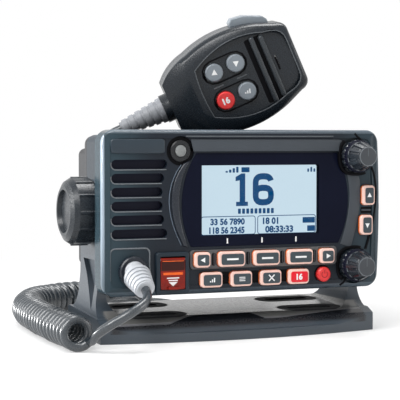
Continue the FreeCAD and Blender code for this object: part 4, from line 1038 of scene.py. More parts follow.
@dataclass
class Cords:
    """The curly cord round the radio's left side, and its end on top; routes in mm."""

    wardrobe: Wardrobe
    coil: Coil = Coil()
    lead: tuple[Spot, ...] = (
        (-61.5, -49.24, 29.28), (-61.5, -54.2, 27.07), (-66.5, -61.8, 23.8),
        (-75, -65, 19.8), (-83.6, -63.2, 15), (-89.2, -56.3, 9.5), (-89.6, -51.5, 5.6),
    )
    tail: tuple[Spot, ...] = (
        (-12, 120, 5), (1.5, 119, 3.2), (11, 110, 2.7), (11, 96.5, 2.7), (2, 87, 3.3),
        (-11, 84.3, 6.5), (-22.5, 84.3, 14.5), (-31, 84.3, 26), (-35.5, 84.3, 40.3),
        (-36.5, 84.2, 55.3), (-36.3, 84, 70.3), (-36.5, 83.7, 83.2),
    )
    top: tuple[Spot, ...] = (
        (-36.5, 83.7, 83.24), (-37.3, 83.2, 98.2), (-41.5, 74.5, 106.6), (-45, 64.5, 105),
        (-48.3, 56, 104.1), (-45.3, 50.3, 106.8), (-40.53, 48.72, 109.04),
    )
    rise: Flat = (4.0, 30.0)

    def make(self) -> None:
        """Lay both cords."""
        lead, tail, top = ([at(*point) for point in route]
                           for route in (self.lead, self.tail, self.top))
        low, high = (at(0, 0, height) for height in self.rise)
        Cord("curly_cord", lead + self.coil.wind() + tail, (Body.MOUNT, Body.RADIO), low, high,
             ("cord_lead", "cord_coil", "cord_tail")).lay(self.wardrobe)
        Cord("upper_cord", top, (Body.RADIO, Body.MICROPHONE), top[3], top[-1],
             ("cord_top",)).lay(self.wardrobe)


# ------------------------------------------------------------------ outlines


def arc(start: Flat, middle: Flat, end: Flat, steps: int = 10) -> Outline:
    """Give points on a smooth arch that passes through three points.

    Args:
        start: its first point.
        middle: the point halfway.
        end: its last point.
        steps: how many straight bits it has.

    Returns:
        The points.
    """
    top = [2 * m - (a + b) / 2 for a, m, b in zip(start, middle, end)]
    found = []
    for number in range(steps + 1):
        t = number / steps
        found.append(tuple(a * (1 - t) ** 2 + c * 2 * t * (1 - t) + b * t * t
                           for a, c, b in zip(start, top, end)))
    return found


def block(x: float, z: float, wide: float, tall: float, radius: float = 0.0) -> Outline:
    """Give a rectangle about a middle, with round corners when a radius is given.

    Args:
        x: the middle across.
        z: the middle up.
        wide: the width.
        tall: the height.
        radius: the corners' radius, or 0 for sharp ones.

    Returns:
        The outline.
    """
    corners = ((-1, -1), (1, -1), (1, 1), (-1, 1))
    if radius <= 0:
        return [(x + a * wide / 2, z + b * tall / 2) for a, b in corners]
    found = []
    for number, (side, up) in enumerate(corners):
        for step in range(4):
            angle = math.radians(180 + 90 * number) + math.radians(30 * step)
            found.append((x + side * (wide / 2 - radius) + radius * math.cos(angle),
                          z + up * (tall / 2 - radius) + radius * math.sin(angle)))
    return found


def ring(x: float, z: float, radius: float, turns: Sequence[float]) -> Outline:
    """Give the points of a circle at some angles in degrees."""
    return [(x + radius * math.cos(math.radians(turn)),
             z + radius * math.sin(math.radians(turn))) for turn in turns]


def disc(x: float, z: float, radius: float, count: int = 24) -> Outline:
    """Give a circle of so many points."""
    return [(x + radius * math.cos(math.tau * i / count),
             z + radius * math.sin(math.tau * i / count)) for i in range(count)]


def gear(x: float, z: float, high: float, low: float, count: int) -> Outline:
    """Give a circle with flutes.

    Args:
        x: the middle across.
        z: the middle up.
        high: the radius between flutes.
        low: the radius in them.
        count: how many flutes.

    Returns:
        The outline.
    """
    found = []
    for number in range(count):
        for turn, radius in ((-0.34, low), (-0.2, high), (0.2, high), (0.34, low)):
            angle = math.tau * (number + turn) / count
            found.append((x + radius * math.cos(angle), z + radius * math.sin(angle)))
    return found


def curve(x: float, z: float, wide: float, tall: float, start: float, end: float) -> Outline:
    """Give points on an arch of a squarish ring.

    Args:
        x: the middle across.
        z: the middle up.
        wide: the half width.
        tall: the half height.
        start: the first angle in degrees.
        end: the last one.

    Returns:
        The points.
    """
    steps, power = 18, 0.75
    found = []
    for number in range(steps + 1):
        angle = math.radians(start + (end - start) * number / steps)
        cos, sin = math.cos(angle), math.sin(angle)
        found.append((x + math.copysign(abs(cos) ** power, cos) * wide,
                      z + math.copysign(abs(sin) ** power, sin) * tall))
    return found


def stroke(points: Sequence[Flat], wide: float) -> Outline:
    """Give the outline of a line of even width.

    Args:
        points: the line.
        wide: its width.

    Returns:
        The outline.
    """
    left, right = [], []
    for i, (x, z) in enumerate(points):
        x0, z0 = points[max(i - 1, 0)]
        x1, z1 = points[min(i + 1, len(points) - 1)]
        length = math.hypot(x1 - x0, z1 - z0)
        across = (-(z1 - z0) / length * wide / 2, (x1 - x0) / length * wide / 2)
        left.append((x + across[0], z + across[1]))
        right.append((x - across[0], z - across[1]))
    return right + left[::-1]


def closed(outline: Outline, wide: float) -> Outline:
    """Give a line of even width that runs all round an outline."""
    return stroke([*outline, outline[0], outline[1]], wide)


# ------------------------------------------------------------------ modelling


def spots(piece: bpy.types.Object) -> list[tuple[float, ...]]:
    """Give the places of a mesh's points, rounded so that they can be compared."""
    return [tuple(round(part, 7) for part in vertex.co) for vertex in piece.data.vertices]


@dataclass(frozen=True)
class Slab:
    """How deep a piece's front lies, how thick the piece is and how wide its bevel is."""

    front: float
    thick: float = 0.0
    bevel: float = 0.0

    def moved(self, depth: float) -> "Slab":
        """Give the same slab, farther back by a depth."""
        return Slab(depth + self.front, self.thick, self.bevel)


@dataclass
class Form:
    """A piece cut from an outline: extruded through its thickness, front edges bevelled.

    Its front gains what lean gives for each point, and flare widens its back.
    """

    name: str
    body: str
    finish: Finish
    outline: Outline
    slab: Slab
    place: Placer
    lean: Callable[[float, float], float] | None = None
    flare: float = 1.0

    def make(self, wardrobe: Wardrobe) -> None:
        """Model the piece, dress it and let it ride on its body.

        Args:
            wardrobe: where its material comes from.
        """
        bpy.ops.object.select_all(action="DESELECT")
        bpy.ops.mesh.primitive_circle_add(vertices=len(self.outline), fill_type="NGON")
        piece = bpy.context.object
        piece.name = piece.data.name = self.name
        for vertex, (x, z) in zip(piece.data.vertices, self.outline):
            extra = self.lean(x, z) if self.lean else 0.0
            vertex.co = self.place(x, self.slab.front + extra, z)
        if self.slab.thick > 0:
            self.extrude(piece)
        bpy.ops.object.shade_smooth_by_angle(angle=math.radians(35))
        wardrobe.dress(piece, self.finish)
        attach(piece, self.body)
        LOG.info("%s rides on %s", self.name, self.body)

    def extrude(self, piece: bpy.types.Object) -> None:
        """Give the flat outline its thickness and bevel its front edges.

        Args:
            piece: the flat piece.
        """
        back = self.place(0, self.slab.thick, 0) - self.place(0, 0, 0)
        fronts = set(spots(piece))
        bpy.ops.object.mode_set(mode="EDIT")
        bpy.ops.mesh.select_all(action="SELECT")
        bpy.ops.mesh.extrude_region_move(TRANSFORM_OT_translate={"value": back})
        bpy.ops.mesh.select_all(action="SELECT")
        bpy.ops.mesh.normals_make_consistent(inside=False)
        bpy.ops.object.mode_set(mode="OBJECT")
        if self.flare != 1.0:
            self.spread(piece, fronts)
        if self.slab.bevel > 0:
            self.round_front(piece, fronts)

    def spread(self, piece: bpy.types.Object, fronts: set[tuple[float, ...]]) -> None:
        """Widen the back of the piece about its middle.

        Args:
            piece: the extruded piece.
            fronts: the places of its front points.
        """
        backs = [vertex for vertex, spot in zip(piece.data.vertices, spots(piece))
                 if spot not in fronts]
        middle = sum((vertex.co for vertex in backs), Vector()) / len(backs)
        for vertex in backs:
            vertex.co = middle + (vertex.co - middle) * self.flare

    def round_front(self, piece: bpy.types.Object, fronts: set[tuple[float, ...]]) -> None:
        """Bevel the edges of the front.

        Args:
            piece: the extruded piece.
            fronts: the places of its front points.
        """
        bpy.ops.object.mode_set(mode="EDIT")
        bpy.ops.mesh.select_mode(type="EDGE")
        bpy.ops.mesh.select_all(action="DESELECT")
        bpy.ops.object.mode_set(mode="OBJECT")
        ahead = [spot in fronts for spot in spots(piece)]
        for edge in piece.data.edges:
            edge.select = all(ahead[number] for number in edge.vertices)
        bpy.ops.object.mode_set(mode="EDIT")
        bpy.ops.mesh.bevel(offset=self.slab.bevel * MM, segments=3, affect="EDGES")
        bpy.ops.object.mode_set(mode="OBJECT")


@dataclass
class Numerals:
    """Plain digits set flat on a surface, tall millimetres high."""

    name: str
    body: str
    finish: Finish
    text: str
    x: float
    z: float
    tall: float
    front: float
    place: Placer
    bold: float
    stretch: float = 1.0

    def make(self, wardrobe: Wardrobe) -> None:
        """Set the digits, turn them into a mesh and place that.

        Args:
            wardrobe: where the material comes from.
        """
        bpy.ops.object.select_all(action="DESELECT")
        bpy.ops.object.text_add(location=(0, 0, 0))
        text = bpy.context.object
        text.name = self.name
        text.data.body = self.text
        text.data.align_x = "CENTER"
        text.data.align_y = "CENTER"
        text.data.resolution_u = 3
        text.data.offset = self.bold
        bpy.ops.object.convert(target="MESH")
        piece = bpy.context.object
        self.fit(piece)
        wardrobe.dress(piece, self.finish)
        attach(piece, self.body)
        LOG.info("%s rides on %s", self.name, self.body)

    def fit(self, piece: bpy.types.Object) -> None:
        """Scale the digits to their height and move them to their place.

        Args:
            piece: the digits' mesh.
        """
        places = [vertex.co.copy() for vertex in piece.data.vertices]
        left, right = (pick(place.x for place in places) for pick in (min, max))
        low, high = (pick(place.y for place in places) for pick in (min, max))
        size = high - low
        for vertex, place in zip(piece.data.vertices, places):
            u = (place.x - (left + right) / 2) * self.tall / size * self.stretch
            v = (place.y - low - size / 2) * self.tall / size
            vertex.co = self.place(self.x + u, self.front, self.z + v)


@dataclass
class Assembly:
    """Pieces that are made together, by default on the radio's front."""

    wardrobe: Wardrobe
    body: Body = Body.RADIO
    place: Placer = on_panel

    def make(self) -> None:
        """Make all of the pieces."""
        raise NotImplementedError

    def cut(self, name: str, finish: Finish, outline: Outline, slab: Slab, body: str = "",
            lean: Callable[[float, float], float] | None = None, flare: float = 1.0) -> None:
        """Cut one piece from an outline.

        Args:
            name: the piece's name.
            finish: its finish.
            outline: its outline.
            slab: its depth, behind the panel or into the microphone.
            body: its body, when that isn't the assembly's.
            lean: what a point's depth gains.
            flare: how much wider its back is.
        """
        Form(name, body or self.body.value, finish, outline, slab, self.place, lean,
             flare).make(self.wardrobe)

    def digits(self, name: str, finish: Finish, text: str, x: float, z: float, tall: float,
               front: float, bold: float, body: str = "", stretch: float = 1.0) -> None:
        """Set plain digits.

        Args:
            name: the piece's name.
            finish: its finish.
            text: the digits.
            x: their middle across.
            z: their middle up.
            tall: their height.
            front: their depth.
            bold: how much wider their strokes are.
            body: their body, when that isn't the assembly's.
            stretch: how much wider they are.
        """
        Numerals(name, body or self.body.value, finish, text, x, z, tall, front, self.place,
                 bold, stretch).make(self.wardrobe)


# ------------------------------------------------------------------ keys


class Sign(Enum):
    """Generic signs on keys, each with its size in millimetres."""

    LEFT = ("left", 1.6)
    RIGHT = ("right", 1.6)
    UP = ("up", 1.6)
    DOWN = ("down", 1.6)
    DASH = ("dash", 1.9)
    STEPS = ("steps", 1.1)
    LINES = ("lines", 1.1)
    CROSS = ("cross", 1.6)
    CHANNEL = ("channel", 3.4)
    POWER = ("power", 1.7)

    @property
    def size(self) -> float:
        """Give the sign's size on the panel's keys."""
        return self.value[1]

    def outlines(self, x: float, z: float, size: float) -> list[Outline]:
        """Give the sign's outlines about a middle.

        Args:
            x: the middle across.
            z: the middle up.
            size: the sign's size.

        Returns:
            The outlines, none for a sign of digits.
        """
        arrows = {Sign.RIGHT: 0, Sign.UP: 90, Sign.LEFT: 180, Sign.DOWN: 270}
        if self in arrows:
            return [ring(x, z, size, [arrows[self] + turn for turn in (0, 125, 235)])]
        if self is Sign.DASH:
            return [block(x, z, size * 3.4, size * 0.5)]
        if self is Sign.STEPS:
            return [block(x + size * (i - 1), z + size * 0.35 * (i - 2), size * 0.6,
                          size * 0.7 * (i + 1)) for i in range(3)]
        if self is Sign.LINES:
            return [block(x, z + size * 0.8 * i, size * 3, size * 0.34) for i in (-1, 0, 1)]
        if self is Sign.CROSS:
            return [stroke([(x - size, z - size * way), (x + size, z + size * way)], size * 0.4)
                    for way in (-1, 1)]
        if self is Sign.POWER:
            bow = ring(x, z, size, range(130, 411, 20))
            return [stroke(bow, size * 0.24), block(x, z + size * 0.75, size * 0.24, size)]
        return []


@dataclass(frozen=True)
class Key:
    """One rectangular key: its middle, size, front and sign."""

    name: str
    x: float
    z: float
    wide: float
    tall: float
    front: float
    sign: Sign


BAR_FRONT, FIELD_FRONT = -2.8, -1.8  # the fronts of the keys in the bar and on the panel
KEYS = (
    Key("key_left", -24.8, -24.45, 8.8, 7.9, BAR_FRONT, Sign.LEFT),
    Key("key_soft_1", -8.5, -24.45, 14.9, 7.9, BAR_FRONT, Sign.DASH),
    Key("key_soft_2", 11.2, -24.45, 14.9, 7.9, BAR_FRONT, Sign.DASH),
    Key("key_soft_3", 30.5, -24.45, 14.9, 7.9, BAR_FRONT, Sign.DASH),
    Key("key_right", 46.4, -24.45, 8.8, 7.9, BAR_FRONT, Sign.RIGHT),
    Key("key_power_level", -19.4, -34.95, 12.1, 7.9, FIELD_FRONT, Sign.STEPS),
    Key("key_menu", -2.7, -34.95, 12.1, 7.9, FIELD_FRONT, Sign.LINES),
    Key("key_clear", 14.0, -34.95, 12.1, 7.9, FIELD_FRONT, Sign.CROSS),
    Key("key_channel", 30.1, -34.95, 12.1, 7.9, FIELD_FRONT, Sign.CHANNEL),
    Key("key_up", 71.6, 7.2, 7.4, 10.6, FIELD_FRONT, Sign.UP),
    Key("key_down", 70.4, -8.7, 7.4, 10.6, FIELD_FRONT, Sign.DOWN),
)
CHANNEL = "16"  # the channel number on the channel keys
ON_OFF_KEY = (45.0, -34.3)


@dataclass
class KeyFaces(Assembly):
    """The dark face plates and signs of the panel's keys, laid on the clear caps."""

    margin: float = 2.3
    corner: float = 1.1
    plate_shift: Flat = (0.35, -0.15)
    sign_shift: Flat = (0.25, -0.1)
    plate: Slab = Slab(-0.2, 0.22, 0.12)  # its front is counted from the key's
    sign: Slab = Slab(-0.23, 0.04)
    on_off: Slab = Slab(-2.34, 0.05)
    bold: float = 0.05

    def make(self) -> None:
        """Dress every rectangular key, then the round one."""
        for key in KEYS:
            self.lay_plate(key)
            self.lay_sign(key)
        for number, outline in enumerate(Sign.POWER.outlines(*ON_OFF_KEY, Sign.POWER.size)):
            self.cut(f"key_on_off_sign_{number + 1}", Finish.RED_DARK, outline, self.on_off,
                     body="key_on_off_body")

    def lay_plate(self, key: Key) -> None:
        """Lay a key's face plate.

        Args:
            key: the key.
        """
        finish = Finish.RED_FACE if key.sign is Sign.CHANNEL else Finish.KEY_FACE
        outline = block(key.x + self.plate_shift[0], key.z + self.plate_shift[1],
                        key.wide - self.margin, key.tall - self.margin, self.corner)
        self.cut(f"{key.name}_face", finish, outline, self.plate.moved(key.front),
                 body=f"{key.name}_body")

    def lay_sign(self, key: Key) -> None:
        """Lay a key's sign over its plate.

        Args:
            key: the key.
        """
        body, slab = f"{key.name}_body", self.sign.moved(key.front)
        x, z = key.x + self.sign_shift[0], key.z + self.sign_shift[1]
        if key.sign is Sign.CHANNEL:
            self.digits(f"{key.name}_sign", Finish.WHITE, CHANNEL, x, z, key.sign.size,
                        slab.front, self.bold, body=body)
        for number, outline in enumerate(key.sign.outlines(x, z, key.sign.size)):
            self.cut(f"{key.name}_sign_{number + 1}", Finish.WHITE, outline, slab, body=body)


@dataclass
class MicKeySigns(Assembly):
    """The white signs of the microphone's round keys, turned as the keys are."""

    columns: Flat = (33.0, 46.0)
    rows: Flat = (8.7, -8.1)
    right: Flat = (0.954, 0.3)  # how far across and down a step to a sign's right goes
    arrow: float = 2.0
    steps: float = 1.2
    slab: Slab = Slab(-0.26, 0.08)
    number_tall: float = 3.8
    number_front: float = -0.24
    bold: float = 0.05

    def make(self) -> None:
        """Lay the three drawn signs and the channel number."""
        (near, far), (upper, lower) = self.columns, self.rows
        self.lay_sign("mic_key_up", near, upper, Sign.UP, self.arrow)
        self.lay_sign("mic_key_down", far, upper, Sign.DOWN, self.arrow)
        self.lay_sign("mic_key_power", far, lower, Sign.STEPS, self.steps)
        self.digits("mic_key_channel_sign", Finish.WHITE, CHANNEL, near, lower,
                    self.number_tall, self.number_front, self.bold,
                    body="mic_key_channel_body")

    def lay_sign(self, name: str, x: float, z: float, sign: Sign, size: float) -> None:
        """Lay one sign.

        Args:
            name: the key's name.
            x: the key's middle beyond the neck.
            z: the key's middle towards the talk key.
            sign: the sign.
            size: its size.
        """
        cos, sin = self.right
        for number, outline in enumerate(sign.outlines(0, 0, size)):
            turned = [(x + v * sin + u * cos, z - u * sin + v * cos) for u, v in outline]
            self.cut(f"{name}_sign_{number + 1}", Finish.WHITE, turned, self.slab,
                     body=f"{name}_body")


# ------------------------------------------------------------------ display


@dataclass
class Display(Assembly):
    """The lit picture behind the glass: a big number, number rows, frames and marks.

    Places are from the panel's middle, in millimetres.
    """

    image: Box = (9.3, 5.75, 66.8, 36.0)
    image_slab: Slab = Slab(2.12, 0.6)
    ink: Slab = Slab(2.07)
    overlap: float = -0.01
    one: tuple[Flat, ...] = (
        (-4.3, 2.5), (2.4, 2.5), (2.4, 4.7), (0.9, 4.7), (0.9, 19.4), (-1.2, 19.4),
        (-4.6, 17.6), (-4.6, 15.4), (-2.3, 15.8), (-2.3, 4.7), (-4.3, 4.7),
    )
    six_middle: float = 11.2
    six_heights: Flat = (8.0, 14.2)
    six_half: float = 4.4
    bowl_tall: float = 3.8
    hook_tall: float = 3.6
    stem: float = 3.3
    row_tall: float = 3.6
    row_heights: Flat = (-5.5, -9.9)
    row_bold: float = 0.046
    frame_middles: Flat = (-8.6, 24.8)
    frame_wides: Flat = (30.4, 33.6)
    frame_height: float = -7.5
    frame_tall: float = 9.4
    frame_corner: float = 1.2
    frame_line: float = 0.4
    mark_corner: float = 0.3
    tick_places: Spot = (-9.9, 9.7, 29.3)
    tick: Box = (-15.3, 0.75, 2.7)
    tick_slab: Slab = Slab(0.34, 0.05)

    def make(self) -> None:
        """Light the display, then write on it."""
        self.cut("screen_image", Finish.SCREEN, block(*self.image), self.image_slab)
        self.big_number()
        self.number_rows()
        for side, x, wide in zip(("left", "right"), self.frame_middles, self.frame_wides):
            frame = block(x, self.frame_height, wide, self.frame_tall, self.frame_corner)
            self.cut(f"{side}_frame", Finish.INK, closed(frame, self.frame_line), self.ink)
        for number, mark in enumerate(self.marks(), start=1):
            self.cut(f"screen_mark_{number}", Finish.INK, block(*mark, self.mark_corner),
                     self.ink)
        for number, x in enumerate(self.tick_places, start=1):
            self.cut(f"tick_{number}", Finish.WHITE, block(x, *self.tick), self.tick_slab)

    def big_number(self) -> None:
        """Draw the channel number's one, and its six as a bowl and a hook."""
        x, (low, high) = self.six_middle, self.six_heights
        self.cut("channel_one", Finish.INK, list(self.one), self.ink)
        bowl = curve(x, low, self.six_half, self.bowl_tall, 0, 342)
        self.cut("channel_bowl", Finish.INK, closed(bowl, self.stem), self.ink)
        bow = curve(x, high, self.six_half, self.hook_tall, 180, 14)
        hook = stroke([(x - self.six_half, low), *bow], self.stem)
        self.cut("channel_hook", Finish.INK, hook, self.ink.moved(self.overlap))

    def number_rows(self) -> None:
        """Write the two rows of numbers in both frames."""
        upper, lower = self.row_heights
        rows = (
            ("33 56 7890", -9.0, upper, 0.98), ("118 56 2345", -9.4, lower, 0.92),
            ("18 01", 15.4, upper, 1.0), ("08:33:33", 20.4, lower, 1.05),
        )
        for number, (text, x, z, stretch) in enumerate(rows, start=1):
            self.digits(f"row_{number}", Finish.INK, text, x, z, self.row_tall,
                        self.ink.front, self.row_bold, stretch=stretch)

    def marks(self) -> list[Box]:
        """Give the small marks: two plates by the rows, signs on top, steps and a bar row.

        Returns:
            The middle, width and height of each.
        """
        upper, lower = self.row_heights
        found = [(37.6, upper, 7.2, 3.0), (39.0, lower, 4.6, 3.0), (1.0, 21.3, 4.6, 2.6),
                 (39.0, 21.2, 1.0, 2.6), (37.2, 20.8, 1.0, 1.8), (40.8, 20.8, 1.0, 1.8)]
        found += [(-9.6 + 2.0 * i, 20.3 + 0.35 * i, 1.3, 0.9 + 0.7 * i) for i in range(4)]
        return found + [(-2.4 + 2.35 * i, -0.2, 1.6, 2.7) for i in range(9)]


# ------------------------------------------------------------------ mouldings of the panel


@dataclass
class Grille(Assembly):
    """The speaker grille: dark cloth in its slots, a pale lip under each as a painted highlight,
    and the brow above, lighter as painted sheen.
    """

    cloth: Box = (-58.0, 7.0, 32.0, 42.0)
    cloth_slab: Slab = Slab(3.42, 0.06)
    brow: Box = (-58.8, 33.6, 29.0, 7.4, 1.6)
    brow_slab: Slab = Slab(-0.5, 1.1, 0.7)
    slots: int = 6
    top_slot: float = 24.5
    pitch: float = 7.0
    nose_x: float = -70.3
    nose: float = 2.75
    long_end: float = -43.4
    short_end: float = -46.0
    lip: float = 0.55
    lip_slab: Slab = Slab(0.2, 0.5, 0.15)

    def make(self) -> None:
        """Make the cloth, the lips and the brow."""
        self.cut("grille_cloth", Finish.CLOTH, block(*self.cloth), self.cloth_slab)
        for number in range(self.slots):
            z = self.top_slot - self.pitch * number
            right = self.long_end if number in (0, self.slots - 1) else self.short_end
            line = [*ring(self.nose_x, z, self.nose, range(160, 271, 11)),
                    (right, z - self.nose)]
            # painted highlight on the lip under each slot
            self.cut(f"grille_lip_{number + 1}", Finish.RIB, stroke(line, self.lip),
                     self.lip_slab)
        # painted sheen: the brow is lighter than the case
        self.cut("grille_brow", Finish.BROW, block(*self.brow), self.brow_slab)


@dataclass
class WindowBands(Assembly):
    """The raised bands that frame the window, with a painted highlight line beside the left band,
    and a painted highlight line and a groove of painted shade along the top.
    """

    left_outer: Arch = ((-34.4, 24.6), (-40.9, 5.6), (-34.6, -17.2))
    left_inner: Arch = ((-31.6, -18.2), (-36.5, 6.2), (-30.6, 26.4))
    left_slab: Slab = Slab(-0.6, 1.2, 0.9)
    line: Arch = ((-35.4, 24.2), (-42.0, 5.6), (-35.4, -16.8))
    line_wide: float = 0.4
    line_slab: Slab = Slab(0.15, 0.4, 0.12)
    right_inner: Arch = ((56.0, 27.0), (60.9, 6.5), (55.6, -18.6))
    right_outer: Arch = ((61.6, -20.8), (67.0, 2.0), (66.4, 17.2))
    right_slab: Slab = Slab(0.0, 0.6, 0.3)
    top_inner: Arch = ((51.5, 30.9), (54.9, 30.0), (56.4, 26.4))
    top_outer: Arch = ((61.0, 30.0), (58.4, 35.4), (52.0, 37.1))
    top_start: Flat = (-29.0, 30.9)
    top_end: Flat = (-30.0, 37.1)
    top_slab: Slab = Slab(0.4, 0.5, 0.15)
    top_fold: float = 34.0  # below this height the top band leans out
    top_lean: float = -1.3
    top_line: Box = (9.0, 38.6, 84.0, 0.6, 0.2)
    top_line_slab: Slab = Slab(-0.12, 0.5, 0.15)
    top_groove: Box = (9.0, 37.6, 84.0, 0.7)
    groove_slab: Slab = Slab(0.4, 0.12)

    def make(self) -> None:
        """Make the left, right and top bands."""
        left = arc(*self.left_outer) + arc(*self.left_inner)
        self.cut("left_band", Finish.BAND, left, self.left_slab)
        # painted highlight along the left band
        line = stroke(arc(*self.line), self.line_wide)
        self.cut("left_band_line", Finish.BLUE_LINE, line, self.line_slab)
        right = arc(*self.right_inner) + arc(*self.right_outer)
        self.cut("right_band", Finish.CASE_LIGHT, right, self.right_slab)
        top = [self.top_start, *arc(*self.top_inner, 6), *arc(*self.top_outer, 6), self.top_end]
        self.cut("top_band", Finish.CASE_LIGHT, top, self.top_slab,
                 lean=lambda x, z: self.top_lean if z < self.top_fold else 0.0)
        # painted highlight along the panel's top
        self.cut("top_line", Finish.MIC_LINE, block(*self.top_line), self.top_line_slab)
        # painted shade in the groove under it
        self.cut("top_groove", Finish.WELL, block(*self.top_groove), self.groove_slab)


@dataclass
class KeyWells(Assembly):
    """The wells between keys, dark as painted shade, and the pale rib in each well of the upper
    bar.

    Those of a row share their place up and a box of width, height and corner radius.
    """

    bar_gaps: tuple[float, ...] = (-17.9, 1.35, 20.85, 39.6)
    bar_height: float = -24.45
    bar_well: Box = (2.0, 6.6, 0.8)
    bar_well_slab: Slab = Slab(-0.53, 0.06)
    bar_rib: Box = (0.5, 6.0, 0.2)
    bar_rib_slab: Slab = Slab(-0.75, 0.25, 0.1)
    rib_shift: float = 0.2
    row_gaps: tuple[float, ...] = (-11.05, 5.65, 22.05)
    row_height: float = -34.6
    row_well: Box = (3.7, 7.0, 0.3)
    side_well: Box = (70.9, -0.8, 6.4, 3.4, 0.5)
    well_slab: Slab = Slab(0.44, 0.08)

    def make(self) -> None:
        """Make the wells of the bar, of the lower row and of the right column."""
        for number, x in enumerate(self.bar_gaps, start=1):
            well = block(x, self.bar_height, *self.bar_well)
            # painted shade in the well between two keys of the bar
            self.cut(f"bar_well_{number}", Finish.WELL, well, self.bar_well_slab)
            rib = block(x + self.rib_shift, self.bar_height, *self.bar_rib)
            self.cut(f"bar_rib_{number}", Finish.CASE_LIGHT, rib, self.bar_rib_slab)
        for number, x in enumerate(self.row_gaps, start=1):
            well = block(x, self.row_height, *self.row_well)
            # painted shade in the well between two keys of the lower row
            self.cut(f"key_well_{number}", Finish.WELL, well, self.well_slab)
        # painted shade in the well between the up and down keys
        self.cut("side_well", Finish.WELL, block(*self.side_well), self.well_slab)


@dataclass
class Seams(Assembly):
    """The panel's dark seams, the rings of painted shade round round things, and two pale ribs,
    the collar's edge being a painted highlight.

    A rotary knob's ring is an open one, with a first and a last angle in degrees.
    """

    top: Arch = ((63.7, 40.2), (65.4, 38.4), (67.4, 37.0))
    side: Arch = ((73.9, 22.5), (76.6, 4.0), (70.6, -21.8))
    low: Arch = ((58.6, -37.4), (57.2, -39.4), (55.0, -40.7))
    seam: float = 1.1
    seam_slab: Slab = Slab(-0.03, 0.56)
    dial_radius: float = 9.55
    dial_ring: float = 1.6
    dial_bevel: float = 0.2
    volume_turn: Flat = (128.0, 300.0)
    volume_front: float = -1.4
    squelch_turn: Flat = (70.0, 232.0)
    squelch_front: float = -0.04
    plug: Spot = (-35.7, 31.2, 6.5)
    plug_ring: float = 1.9
    plug_slab: Slab = Slab(1.2, 0.08)
    side_rib: Box = (71.0, -0.8, 5.6, 0.9, 0.3)
    rib_slab: Slab = Slab(0.0, 0.5, 0.2)
    on_off_radius: float = 4.5
    on_off_ring: float = 0.7
    on_off_slab: Slab = Slab(0.42, 0.1)
    collar: Box = (-63.0, -29.0, 21.0, 22.5, 2.5)
    collar_rib: float = 0.8
    collar_slab: Slab = Slab(0.1, 0.5, 0.3)

    def make(self) -> None:
        """Make the seams, the rings and the ribs."""
        for name, line in (("top", self.top), ("side", arc(*self.side)), ("low", self.low)):
            self.cut(f"{name}_seam", Finish.WELL, stroke(line, self.seam), self.seam_slab)
        self.ring_dial(Body.VOLUME, self.volume_turn, self.volume_front)
        self.ring_dial(Body.SQUELCH, self.squelch_turn, self.squelch_front)
        # painted shade in the plug's recess
        plug = closed(disc(*self.plug), self.plug_ring)
        self.cut("plug_groove", Finish.WELL, plug, self.plug_slab)
        self.cut("side_rib", Finish.CASE_LIGHT, block(*self.side_rib), self.rib_slab)
        # painted shade round the on/off key
        on_off = closed(disc(*ON_OFF_KEY, self.on_off_radius), self.on_off_ring)
        self.cut("on_off_well", Finish.WELL, on_off, self.on_off_slab)
        # painted highlight along the collar's edge
        frame = block(*self.collar)
        edge = stroke(frame[4:] + frame[:5], self.collar_rib)
        self.cut("collar_edge", Finish.RIB, edge, self.collar_slab)

    def ring_dial(self, body: Body, turn: Flat, front: float) -> None:
        """Make the ring of painted shade beside a rotary knob, down to the seams' backs.

        Args:
            body: the knob's body.
            turn: the ring's first and last angle.
            front: the depth of its front.
        """
        rim = curve(*DIAL_AXES[body], self.dial_radius, self.dial_radius, *turn)
        slab = Slab(front, self.seam_slab.thick - front, self.dial_bevel)
        self.cut(f"{body.value}_well", Finish.WELL, stroke(rim, self.dial_ring), slab)


@dataclass
class Dial(Assembly):
    """One rotary knob's skirt, darkened as painted shade, fluted cone, capped face and pale rings
    of painted highlight, on its own body.
    """

    skirt: Flat = (8.6, 8.3)  # the radius on the teeth and between them
    teeth: int = 40
    skirt_slab: Slab = Slab(-6.2, 3.4, 0.4)
    cone: Flat = (5.35, 4.75)
    flutes: int = 12
    cone_flare: float = 1.5
    cone_slab: Slab = Slab(-14.3, 8.2, 0.25)
    face: float = 5.0
    face_slab: Slab = Slab(-14.8, 0.9, 0.2)
    ring: float = 4.85
    ring_wide: float = 0.36
    ring_slab: Slab = Slab(-14.88, 0.22, 0.08)
    lip: float = 7.5
    lip_points: int = 36
    lip_wide: float = 0.5
    lip_slab: Slab = Slab(-6.5, 0.4, 0.15)
    mark: Box = (0.4, 4.4)
    mark_shift: float = 2.4
    mark_slab: Slab = Slab(-14.84, 0.1)

    def make(self) -> None:
        """Make the knob from its skirt to its mark."""
        x, z = DIAL_AXES[self.body]
        name = self.body.value
        skirt = gear(x, z, *self.skirt, self.teeth)
        # painted shade: the skirt is near black
        self.cut(f"{name}_skirt", Finish.CLOTH, skirt, self.skirt_slab)
        cone = gear(x, z, *self.cone, self.flutes)
        self.cut(f"{name}_cone", Finish.DIAL, cone, self.cone_slab, flare=self.cone_flare)
        self.cut(f"{name}_face", Finish.DIAL_FACE, disc(x, z, self.face), self.face_slab)
        # painted highlight: the pale ring on the face's rim
        ring_line = closed(disc(x, z, self.ring), self.ring_wide)
        self.cut(f"{name}_ring", Finish.RIB, ring_line, self.ring_slab)
        # painted highlight: the pale lip at the skirt's front
        lip = closed(disc(x, z, self.lip, self.lip_points), self.lip_wide)
        self.cut(f"{name}_lip", Finish.RIB, lip, self.lip_slab)
        mark = block(x, z + self.mark_shift, *self.mark)
        self.cut(f"{name}_mark", Finish.MIC_LINE, mark, self.mark_slab)


